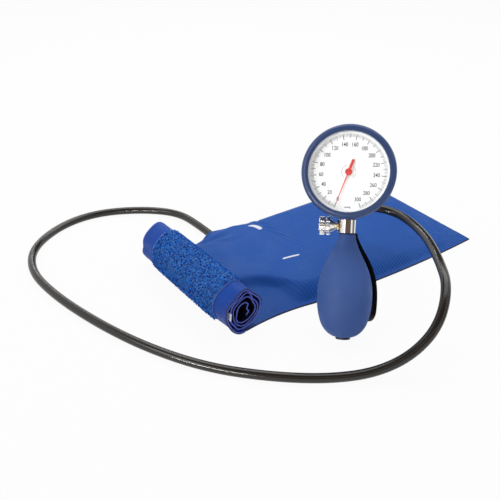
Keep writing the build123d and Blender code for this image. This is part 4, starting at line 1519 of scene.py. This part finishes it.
    def rolled(self, distance: float, v: float, inset: float) -> Vector:
        """A place in the roll.

        Args:
            distance: Along the roll's line.
            v: Across the strip.
            inset: How far towards the roll's middle.

        Returns:
            The place, in millimetres.
        """
        at = self.line.at(distance)
        heading = self.line.heading(distance)
        along, over = self.crumple_waves
        crumple = noise.noise(Vector((distance * along, 7.0, v * over))) * (1 - eased(v / self.crumple_end))
        inset += self.crumple * crumple * ramp(distance, *self.crumple_step)
        x, y = at.x + heading.y * inset, at.y - heading.x * inset
        swell = math.sin(math.pi * min(1.0, max(0.0, v)))
        share = 1 - distance / self.line.length
        if x < 0:
            tucked = self.tuck * ramp(y, *self.tuck_up) * ramp(v, *self.tuck_across)
            least, more = self.bulge
            x *= 1 + (least + more * eased(v / self.bulge_reach) * (1 - tucked)) * share
        y += self.swell * swell * share * ramp(y, *self.swell_up)
        over, along = self.wave_turns
        y += self.wave * noise.noise(Vector((v * over, distance * along, 4.0))) * ramp(y, *self.wave_up)
        return self.origin + self.axis * (v * self.width) + self.across * x + Vector((0, 0, y))

    def upper(self, along: float, v: float, lift: float = 0.0) -> Vector:
        """A place on the upper cloth.

        Args:
            along: u on the flat part, or minus a distance into the roll.
            v: Across it, 0 at the near edge.
            lift: Distance out from the cloth's middle.

        Returns:
            The place, in millimetres.
        """
        if along < 0:
            return self.rolled(-along, v, self.half_gap + lift)
        at = self.flat(along, v)
        at.z = self.middle + self.half_gap + self.crown(along, v) + lift
        return at

    def lower(self, along: float, v: float) -> Vector:
        """A place on the lower cloth.

        Args:
            along: u on the flat part, or minus a distance into the roll.
            v: Across it, 0 at the near edge.

        Returns:
            The place, in millimetres.
        """
        if along < 0:
            return self.rolled(-along, v, -self.half_gap)
        at = self.flat(along, v)
        at.z = self.middle - self.half_gap
        return at


@dataclass
class CuffPart:
    """A part of the cuff, laid out by the cuff's shape."""

    strip: CuffStrip


@dataclass
class Cloths(CuffPart):
    """The two cloths, each with its flat part and its roll in one sheet.

    Attributes:
        rows: The rows of points across.
        even: How evenly they stand, 0 being closer at the edges.
    """

    rows: int = 56
    even: float = 0.35

    def build(self) -> None:
        """Make both."""
        self.cloth("cuff_lower_cloth", self.strip.lower, "cuff_outer_cloth")
        self.cloth("cuff_upper_cloth", self.strip.upper, "cuff_inner_cloth")

    def cloth(self, name: str, place: Callable[[float, float], Vector], stands_for: str) -> None:
        """Make one cloth.

        Args:
            name: The piece's name.
            place: Gives a point of the cloth.
            stands_for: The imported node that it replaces.
        """
        stations = self.strip.stations()
        # Past this point into the roll the cloth is painted near-black: painted shade.
        start = -self.strip.line.marks[self.strip.lining_mark]

        def point(i: int, j: int) -> Placed:
            """One point of the cloth.

            Args:
                i: The column.
                j: The row.

            Returns:
                The point and its place on the piece's map.
            """
            share = j / (self.rows - 1)
            v = (1 - self.even) * (0.5 - 0.5 * math.cos(math.pi * share)) + self.even * share
            along, distance = stations[i]
            return place(along, v), (distance * MM, v * self.strip.width * MM)

        def choose(face: int) -> int:
            """Plain cloth outside the roll, and deep inside it a near-black colour that is painted shade."""
            along = stations[face // (self.rows - 1)][0]
            return 2 if along < start else 4 if along < 0 else 0

        draft = Draft()
        draft.grid(len(stations), self.rows, point)
        # Every cut edge takes the light painted highlight; deep in the roll the cloth takes the near-black
        # painted shade.
        finishes = (Palette.EDGE, Palette.LINING, Palette.EDGE, Palette.ROLLED, Palette.EDGE)
        sheet = draft.piece(
            name, Palette.NYLON, Slot.NYLON, thickness=self.strip.cloth, others=finishes, choose=choose, rim=1
        )
        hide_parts(stands_for)


@dataclass
class Bladder(CuffPart):
    """The rubber bag between the cloths and the neck that the hose joins.

    Attributes:
        columns: The columns of points along the strip.
        rows: The rows across it.
        along: Its start and its length, as u.
        across: Its start and its width, as v.
        rim: How many columns its edge takes to swell.
        row: How many columns a row counts for in that.
        clear: Its distances to the lower and to the upper cloth.
        least: The least room that it takes up.
        faces: The heights of its lower and its upper face in that room, 0 to 1.
        edge: The height of its edge there, and how far the faces swell from it.
        neck: How far into the cuff the neck's points are.
        neck_radius: The neck's radius.
        neck_height: The height of its axis over the table.
    """

    columns: int = 60
    rows: int = 26
    along: Pair = (0.19, 0.57)
    across: Pair = (0.09, 0.82)
    rim: float = 6.0
    row: float = 1.6
    clear: Pair = (0.6, 1.4)
    least: float = 0.3
    faces: Pair = (0.02, 0.85)
    edge: Pair = (0.45, 0.40)
    neck: tuple[float, ...] = (9.2, 13.0, 17.0, 21.0, 25.0, 29.0)
    neck_radius: float = 3.7
    neck_height: float = 5.4

    def build(self) -> None:
        """Make the bag and its neck in one piece."""
        draft = Draft()
        columns, rows = self.columns, self.rows
        upper = draft.grid(columns, rows, lambda i, j: self.point(i, j, True), flipped=True)
        lower = draft.grid(columns, rows, lambda i, j: self.point(i, j, False))
        rim = [(i, 0) for i in range(columns)] + [(columns - 1, j) for j in range(1, rows)]
        rim += [(i, rows - 1) for i in range(columns - 2, -1, -1)] + [(0, j) for j in range(rows - 2, 0, -1)]
        for (i, j), (k, m) in zip(rim, rim[1:] + rim[:1]):
            draft.faces.append((upper[i][j], upper[k][m], lower[k][m], lower[i][j]))
        entry = Vector((*self.strip.hose_entry, self.neck_height))
        inward = Vector((*self.strip.hose_inward, 0))
        draft.tube([entry + inward * t for t in self.neck], lambda i: self.neck_radius, 20)
        bag_piece = draft.piece("bladder_bag", Palette.BLADDER, Slot.BLADDER)
        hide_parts("bladder")

    def point(self, i: int, j: int, top: bool) -> Placed:
        """One point of the bag's upper or lower face.

        Args:
            i: The column.
            j: The row.
            top: Whether it is on the upper face.

        Returns:
            The point and its place on the piece's map.
        """
        (low_u, long), (low_v, wide) = self.along, self.across
        u, v = low_u + long * i / (self.columns - 1), low_v + wide * j / (self.rows - 1)
        to_edge = min(i, self.columns - 1 - i, j * self.row, (self.rows - 1 - j) * self.row) / self.rim
        at = self.strip.flat(u, v)
        low = self.strip.middle - self.strip.half_gap + self.clear[0]
        room = max(self.least, self.strip.crown(u, v) - self.clear[1])
        swelling = self.edge[0] + self.edge[1] * eased(to_edge) * (1 if top else -1)
        at.z = low + room * (swelling if to_edge < 1 else self.faces[top])
        return at, (i * 3 * MM, j * 3 * MM)


@dataclass
class LoopPatch(CuffPart):
    """The loop patch on the roll: its backing, sewn down at the edges, and its pile.

    Attributes:
        columns: The columns of points round the roll.
        rows: The rows along it.
        marks: The points of the roll's line where the patch starts and ends.
        span: Its start and its end along the roll.
        corner: The radius of its corners.
        thickness: How thick it is.
        foot: How far its edge stands off the cloth.
        lump: The height of its lumps.
        lumps: How many it has round the roll and along it.
        rim: How many columns its edge takes to rise.
        loops: How many loops stand on it.
        loop: A loop's points, up and away from its root.
    """

    columns: int = 64
    rows: int = 70
    marks: tuple[int, int] = (2, 12)
    span: Pair = (16.0, 117.0)
    corner: float = 9.0
    thickness: float = 1.1
    foot: float = 0.25
    lump: float = 0.25
    lumps: Pair = (40.0, 60.0)
    rim: float = 3.0
    loops: int = 9000
    loop: tuple[Pair, ...] = ((0, 0), (0.75, 0.35), (1, 1), (0.6, 1.6))

    def build(self) -> None:
        """Make the backing and the pile."""
        self.backing()
        self.pile()

    def at(self, s: float, t: float, lift: float) -> Vector:
        """A place over the roll's outer face, on the patch with its rounded corners.

        Args:
            s: Round the roll, 0 to 1.
            t: Along the roll, 0 at its near end, to 1.
            lift: Distance out from the outer cloth's face.

        Returns:
            The place, in millimetres.
        """
        start, end = self.strip.reach(self.marks)
        low, high = self.span
        gone = max(0.0, self.corner - min(s, 1 - s) * (end - start))
        cut = self.corner - math.sqrt(self.corner**2 - gone**2)
        across = low + cut + (high - low - 2 * cut) * t
        outward = self.strip.half_gap + self.strip.cloth / 2 + lift
        return self.strip.rolled(start + (end - start) * s, across / self.strip.width, -outward)

    def backing(self) -> None:
        """The woven backing."""
        columns, rows = self.columns, self.rows
        low, high = self.span

        def point(i: int, j: int) -> Placed:
            """One point of the backing.

            Args:
                i: The column.
                j: The row.

            Returns:
                The point and its place on the piece's map.
            """
            s, t = i / (columns - 1), j / (rows - 1)
            to_edge = min(i, columns - 1 - i, j, rows - 1 - j) / self.rim
            lump = self.lump * noise.noise(Vector((s * self.lumps[0], t * self.lumps[1], 1.0)))
            lift = self.foot + (self.thickness / 2 + lump) * eased(to_edge)
            return self.at(s, t, lift), (s * 0.08, t * (high - low) * MM)

        def choose(face: int) -> int:
            """A light fringe along the patch's edges: a painted highlight where the fuzz catches the light."""
            i, j = divmod(face, rows - 1)
            return 1 if min(i, columns - 2 - i, j, rows - 2 - j) < 1 else 0

        draft = Draft()
        draft.grid(columns, rows, point)
        fringe = (Palette.FRINGE,)
        sheet = draft.piece(
            "loop_patch_backing", Palette.FLEECE, Slot.FLEECE, thickness=0.5, others=fringe, choose=choose
        )
        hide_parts("loop_patch")
        start, end = self.strip.reach(self.marks)

    def pile(self) -> None:
        """Short curled loops standing on the patch."""
        chance = random.Random(7)
        draft = Draft()
        for _ in range(self.loops):
            s, t = chance.uniform(0.02, 0.98), chance.uniform(0.012, 0.988)
            root = self.at(s, t, 0.6)
            out = (self.at(s, t, 1.6) - root).normalized()
            side = self.strip.axis * chance.uniform(-1, 1) + out.cross(self.strip.axis) * chance.uniform(-1, 1)
            side = side.normalized() * chance.uniform(0.4, 0.95)
            tall, wide = chance.uniform(0.6, 1.6), out.cross(side).normalized() * chance.uniform(0.15, 0.30)
            path = [root + out * tall * up + side * away for up, away in self.loop]
            pairs = [(draft.add(p - wide), draft.add(p + wide)) for p in path]
            for (a, b), (c, d) in zip(pairs, pairs[1:]):
                draft.faces.append((a, b, d, c))
        draft.piece("loop_patch_pile", Palette.LOOP, Slot.FLEECE)


@dataclass
class HookTape(CuffPart):
    """The hook tape on the inner end of the strip.

    Attributes:
        columns: The columns of points round the roll.
        rows: The rows along it.
        before: From the tape's start to the cloth's inner end.
        length: The tape's length along the cloth.
        margin: From the tape's ends to the strip's edges.
        lift: Its distance off the cloth.
    """

    columns: int = 24
    rows: int = 40
    before: float = 42.0
    length: float = 38.0
    margin: float = 14.0
    lift: float = 0.3

    def build(self) -> None:
        """Make the tape."""
        width = self.strip.width

        def point(i: int, j: int) -> Placed:
            """One point of the tape.

            Args:
                i: The column.
                j: The row.

            Returns:
                The point and its place on the piece's map.
            """
            distance = self.strip.line.length - self.before + self.length * i / (self.columns - 1)
            v = (self.margin + (width - 2 * self.margin) * j / (self.rows - 1)) / width
            inset = self.strip.half_gap + self.strip.cloth / 2 + self.lift
            return self.strip.rolled(distance, v, inset), (distance * MM, v * width * MM)

        draft = Draft()
        draft.grid(self.columns, self.rows, point)
        tape = draft.piece("hook_tape", Palette.HOOKS, Slot.HOOKS, thickness=0.5)
        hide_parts("hook_patch")


@dataclass
class Tag(CuffPart):
    """The folded white tag that stands out of the roll's near end.

    Attributes:
        rows: The rows of points upwards.
        foot: The height of its lower edge.
        height: How high it is.
        bow: How much it bows.
        fold: Its outline seen from above, along and across the roll.
    """

    rows: int = 7
    foot: float = 18.9
    height: float = 6.5
    bow: float = 0.012
    fold: tuple[Pair, ...] = (
        (6.0, -15.15), (1.0, -15.1), (-2.3, -15.05), (-2.75, -14.8), (-2.3, -14.5), (1.0, -14.5), (6.0, -14.5),
    )

    def build(self) -> None:
        """Make the tag."""
        draft = Draft()
        draft.grid(len(self.fold), self.rows, self.point)
        tag = draft.piece("folded_tag", Palette.LABEL, Slot.LABEL, thickness=0.22)
        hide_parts("sewn_tag")

    def point(self, i: int, j: int) -> Placed:
        """One point of the tag.

        Args:
            i: The column.
            j: The row.

        Returns:
            The point and its place on the piece's map.
        """
        along, x = self.fold[i]
        y = self.foot + self.height * j / (self.rows - 1)
        x += self.bow * (y - self.foot) ** 2
        at = self.strip.origin + self.strip.axis * along + self.strip.across * x
        return at + Vector((0, 0, y)), (i * 2 * MM, j * MM)


@dataclass
class Prints(CuffPart):
    """Two plain white marks printed on the upper cloth.

    Attributes:
        bow: The middle of the bow-shaped mark, as u and v.
        bow_width: The width of its stroke.
        dash: The middle of the straight mark, as u and v.
        dash_width: The width of its stroke.
        columns: The columns of points along a stroke.
        half_rows: The rows to either side of its middle.
        lift: The distance off the cloth.
    """

    bow: tuple[Pair, ...] = ((0.333, 0.868), (0.341, 0.860), (0.350, 0.838), (0.355, 0.805), (0.356, 0.778))
    bow_width: float = 4.4
    dash: tuple[Pair, ...] = ((0.297, 0.394), (0.330, 0.389), (0.362, 0.380))
    dash_width: float = 2.6
    columns: int = 41
    half_rows: int = 3
    lift: float = 0.05

    def build(self) -> None:
        """Print both."""
        self.stroke("print_bow", self.bow, self.bow_width)
        self.stroke("print_line", self.dash, self.dash_width)

    def stroke(self, name: str, spine: Sequence[Pair], wide: float) -> None:
        """Print one stroke, half as wide at its ends.

        Args:
            name: The piece's name.
            spine: The stroke's middle, as u and v.
            wide: Its width.
        """
        track = Track.through(spine, 12)
        last = self.columns - 1
        stretch = self.strip.near.length / self.strip.width

        def point(i: int, j: int) -> Placed:
            """One point of the stroke.

            Args:
                i: The column.
                j: The row.

            Returns:
                The point and its place on the piece's map.
            """
            distance = track.length * i / last
            at, heading = track.at(distance), track.heading(distance)
            end = min(i, last - i) / 3
            half = wide / 2 / self.strip.width * (eased(end) * 0.5 + 0.5) * (j / self.half_rows - 1)
            side = Vector((-heading.y * stretch, heading.x / stretch, 0)).normalized()
            u, v = at.x + side.x * half / stretch, at.y + side.y * half
            return self.strip.upper(u, v, self.strip.cloth / 2 + self.lift), (i * MM, j * MM)

        draft = Draft()
        draft.grid(self.columns, 2 * self.half_rows + 1, point, flipped=True)
        draft.piece(name, Palette.PRINT, Slot.LABEL, thickness=0.04)


@dataclass(frozen=True)
class Row:
    """A row of stitches: where it starts, from stitch to stitch, and one stitch's length."""

    start: float
    pitch: float
    length: float

    def pairs(self, count: int) -> list[Pair]:
        """Where each of its stitches starts and ends."""
        starts = (self.start + k * self.pitch for k in range(count))
        return [(at, at + self.length) for at in starts]


@dataclass
class Seams(CuffPart):
    """Rows of stitches along the strip's edges and round the patch.

    Attributes:
        patch: The patch that is sewn on.
        half_width: Half a stitch's width.
        height: A stitch's height.
        margin: From the strip's edge to its seam.
        flat: The seam's stitches on the flat part, as u.
        flat_count: How many they are.
        roll_marks: The points of the roll's line where those on the roll start and end.
        roll_pitch: From stitch to stitch there.
        roll_stitch: One stitch's length there.
        edge: The patch's stitches, as shares of its arc.
        edge_count: How many they are.
        edges: Where they run along the roll, as shares of the patch.
    """

    patch: LoopPatch
    half_width: float = 0.2
    height: float = 0.16
    margin: float = 3.2
    flat: Row = Row(0.005, 0.0107, 0.0078)
    flat_count: int = 92
    roll_marks: tuple[int, int] = (1, 14)
    roll_pitch: float = 3.0
    roll_stitch: float = 2.2
    edge: Row = Row(0.02, 0.0356, 0.026)
    edge_count: int = 27
    edges: Pair = (0.02, 0.98)

    def build(self) -> None:
        """Sew every row."""
        draft = Draft()
        strip, top = self.strip, self.strip.cloth / 2
        start, end = strip.reach(self.roll_marks)
        roll = Row(start, self.roll_pitch, self.roll_stitch)
        for v in (self.margin / strip.width, 1 - self.margin / strip.width):
            for a, b in self.flat.pairs(self.flat_count):
                self.stitch(draft, strip.upper(a, v, top), strip.upper(b, v, top), Vector((0, 0, 1)))
            for a, b in roll.pairs(int((end - start) / roll.pitch)):
                out = (strip.rolled(a, v, -2.0) - strip.rolled(a, v, 0.0)).normalized()
                first, last = (strip.rolled(s, v, -strip.half_gap - top) for s in (a, b))
                self.stitch(draft, first, last, out)
        for t in self.edges:
            for a, b in self.edge.pairs(self.edge_count):
                first, last = (self.patch.at(s, t, 1.0) for s in (a, b))
                self.stitch(draft, first, last, (self.patch.at(a, t, 2.0) - first).normalized())
        draft.piece("seam_stitches", Palette.THREAD, Slot.NYLON)

    def stitch(self, draft: Draft, start: Vector, end: Vector, up: Vector) -> None:
        """Add one stitch, a small rounded bead of thread.

        Args:
            draft: Takes its points and faces.
            start: Where it starts.
            end: Where it ends.
            up: The direction out of the cloth.
        """
        along = end - start
        side, rise = along.cross(up).normalized() * self.half_width, up * self.height
        across, ends = ((-1, 0), (-0.6, 1), (0.6, 1), (1, 0)), ((0, 0.35), (0.25, 1), (0.75, 1), (1, 0.35))

        def point(i: int, j: int) -> Placed:
            """One point of the bead."""
            (t, w), (a, b) = ends[i], across[j]
            return start + along * t + (side * a + rise * b) * w, (0.0, 0.0)

        draft.grid(len(ends), len(across), point)


@dataclass
class Bindings(CuffPart):
    """The dark binding that closes the strip's edges, partly a real binding and partly painted shade, and the
    bright one on the roll, a painted highlight on its hems.

    Attributes:
        dark: The radius of the dark binding.
        outline: The radius of the dark line on the roll's near end, painted shade between its turns.
        outline_lift: Its distance off the middle between the cloths.
        bright: The radii of the bright binding, a painted highlight on the roll's hems, outside and inside.
        thin_mark: The point of the roll's line where it gets thin.
        end_steps: How many parts the free end is cut into.
        sides: How many sides each has.
    """

    dark: float = 0.7
    outline: float = 0.5
    outline_lift: float = 0.9
    bright: Pair = (0.75, 0.55)
    thin_mark: int = 26
    end_steps: int = 60
    sides: int = 8

    def build(self) -> None:
        """Make both."""
        strip = self.strip
        draft, bright = Draft(), Draft()
        stations = [a for a, _ in strip.stations()]
        flat, roll = [a for a in stations if a > 0], [a for a in stations if a < 0]
        # Dark binding along the flat part's edges and free end: partly a real binding, partly painted shade.
        for v in (0.0, 1.0):
            draft.tube([self.edge(a, v) for a in flat], lambda i: self.dark, self.sides)
        end = [self.edge(1.0, j / self.end_steps) for j in range(self.end_steps + 1)]
        draft.tube(end, lambda i: self.dark, self.sides)
        # The dark line along the roll's near end is painted shade between its turns.
        first, last = strip.reach((0, strip.lining_mark))
        outline = [strip.rolled(-a, 0.0, -self.outline_lift) for a in roll if first <= -a <= last]
        draft.tube(outline, lambda i: self.outline, self.sides)
        draft.piece("edge_bindings", Palette.PIPING, Slot.NYLON)
        turn = len([a for a in roll if -a <= strip.line.marks[self.thin_mark]])
        # The roll's hems in light blue: a painted highlight.
        for v in (0.0, 1.0):
            bright.tube([self.edge(a, v) for a in roll], lambda i: self.bright[i >= turn], self.sides)
        bright.piece("roll_hem_highlights", Palette.EDGE, Slot.NYLON)

    def edge(self, along: float, v: float) -> Vector:
        """The middle between the two cloths.

        Args:
            along: u on the flat part, or minus a distance into the roll.
            v: Across it, 0 at the near edge.

        Returns:
            The place, in millimetres.
        """
        if along < 0:
            return self.strip.rolled(-along, v, 0.0)
        at = self.strip.flat(along, v)
        at.z = self.strip.middle + self.strip.crown(along, v) / 2
        return at


class Cuff:
    """The whole cuff."""

    def build(self) -> None:
        """Make every part of the cuff."""
        strip = CuffStrip()
        patch = LoopPatch(strip)
        parts = (Cloths(strip), Bladder(strip), patch, HookTape(strip), Tag(strip), Prints(strip))
        for part in (*parts, Seams(strip, patch), Bindings(strip)):
            part.build()


@dataclass(frozen=True)
class Lamp:
    """A soft lamp that looks at the middle of the object: place and size in metres, power in watts."""

    name: str
    at: Triple
    size: Pair
    power: float
    target: Triple = (-0.05, -0.07, 0.03)

    def build(self) -> None:
        """Hang it up."""
        data = bpy.data.lights.new(self.name, "AREA")
        data.shape = "RECTANGLE"
        data.size, data.size_y = self.size
        data.energy = self.power
        lamp = link(self.name, data)
        lamp.location = self.at
        aim = Vector(self.target) - Vector(self.at)
        lamp.rotation_euler = aim.to_track_quat("-Z", "Y").to_euler()


@dataclass(frozen=True)
class Card:
    """A dark or bright card that only shows in gloss: place and size in metres, turn in degrees."""

    name: str
    at: Triple
    size: Pair
    turn: Triple = (0, 0, 0)
    tone: Colour = (0.05, 0.045, 0.04)

    def build(self) -> None:
        """Hang it up."""
        card = plane(self.name, self.size, Vector(self.at))
        card.rotation_euler = Euler([math.radians(t) for t in self.turn])
        recipe = Recipe(self.name + "_felt")
        recipe.show(recipe.node("Emission", {"Color": self.tone, "Strength": 1.0}))
        card.data.materials.append(recipe.material)
        for kind in ("camera", "diffuse", "transmission", "shadow", "volume_scatter"):
            setattr(card, "visible_" + kind, False)


def plane(name: str, size: Pair, at: Vector) -> bpy.types.Object:
    """A rectangle, its size and its middle in metres.

    Args:
        name: Its name.
        size: Its width and height, in metres.
        at: Its middle, in metres.

    Returns:
        The rectangle.
    """
    mesh = bpy.data.meshes.new(name)
    w, h = size[0] / 2, size[1] / 2
    mesh.from_pydata([(-w, -h, 0), (w, -h, 0), (w, h, 0), (-w, h, 0)], [], [(0, 1, 2, 3)])
    made = link(name, mesh)
    made.location = at
    return made


@dataclass
class Studio:
    """The plain table, the soft lamps, the cards and the white surroundings.

    Attributes:
        lamps: The lamps.
        cards: What shows in the gloss besides the white world.
        fill: The world's strength where it isn't seen.
        fill_tone: Its colour.
        table_size: The table's sides in metres.
        table_drop: How far the table lies below the object's foot, in millimetres.
        table_tones: The darkest and the lightest of its drifting tone.
        floor_white: How white the table is to the camera and in mirrors.
    """

    lamps: tuple[Lamp, ...] = (
        Lamp("overhead_lamp", (0.15, 0.5, 1.3), (1.7, 1.1), 12.5),
        Lamp("front_lamp", (-0.95, -0.75, 0.8), (0.7, 0.7), 3.8),
        Lamp("strip_lamp", (-0.39, 1.23, 0.66), (1.0, 0.05), 1.2),
    )
    cards: tuple[Card, ...] = (
        Card("back_screen", (0.55, 1.6, 0.75), (1.5, 1.3), (90, 0, 0)),
        Card("ceiling_screen", (0, -0.5, 1.9), (3.2, 2.6)),
        Card("right_screen", (0.8, -0.2, 0.15), (0.36, 0.62), (0, 90, 0), (0.24, 0.20, 0.19)),
        Card("camera_screen", (-0.05, -1.7, 0.9), (2.76, 0.9), (90, 0, 0), (0.15, 0.10, 0.075)),
        Card("front_strip", (-0.29, -0.455, 0.124), (0.24, 0.02), (90, 0, -28.7), (75.0, 75.0, 72.0)),
    )
    fill: float = 0.40
    fill_tone: Colour = (0.96, 0.98, 1.0)
    table_size: Pair = (12.0, 12.0)
    table_drop: float = 0.05
    table_tones: Pair = (0.83, 0.86)
    floor_white: float = 0.94

    def build(self) -> None:
        """Make the table, the world, the lamps and the cards."""
        bpy.context.scene.view_settings.view_transform = "Standard"
        self.floor()
        self.world()
        for each in (*self.lamps, *self.cards):
            each.build()
            log.info("hung %s", each.name)

    def floor(self) -> None:
        """A pale table that shows the object's shadow and is otherwise white to the camera."""
        table = plane("table", self.table_size, Vector((0, 0, -self.table_drop * MM)))
        recipe = Recipe("pale_table")
        dark, light = ((tone,) * 3 for tone in self.table_tones)
        paint = recipe.blend(recipe.noise(recipe.place(), 120.0, 3.0), dark, light)
        recipe.set(Base_Color=paint, Roughness=0.9, Specular_IOR_Level=0.0)
        white = recipe.node("Emission", {"Color": (1, 1, 1), "Strength": 1.0})
        recipe.show_mix(recipe.maths("MULTIPLY", recipe.seen(), self.floor_white), recipe.shader, white)
        table.data.materials.append(recipe.material)

    def world(self) -> None:
        """White to the camera, in mirrors and through glass, and an even grey fill elsewhere."""
        world = bpy.data.worlds.new("studio")
        bpy.context.scene.world = world
        surroundings = Shading(world, "OutputWorld")
        fill = surroundings.node("Background", {"Color": self.fill_tone, "Strength": self.fill})
        white = surroundings.node("Background", {"Color": (1, 1, 1), "Strength": 1.0})
        surroundings.show_mix(surroundings.seen(), fill, white)


def main() -> None:
    """Build the classes in order."""
    logging.basicConfig(level=logging.INFO, format="%(name)s: %(message)s")
    PhotoCamera().build()
    Hose().build()
    GaugeHead().build()
    Movement().build()
    ConnectorAndBulb().build()
    Cuff().build()
    Studio().build()


if __name__ == "__main__":
    main()
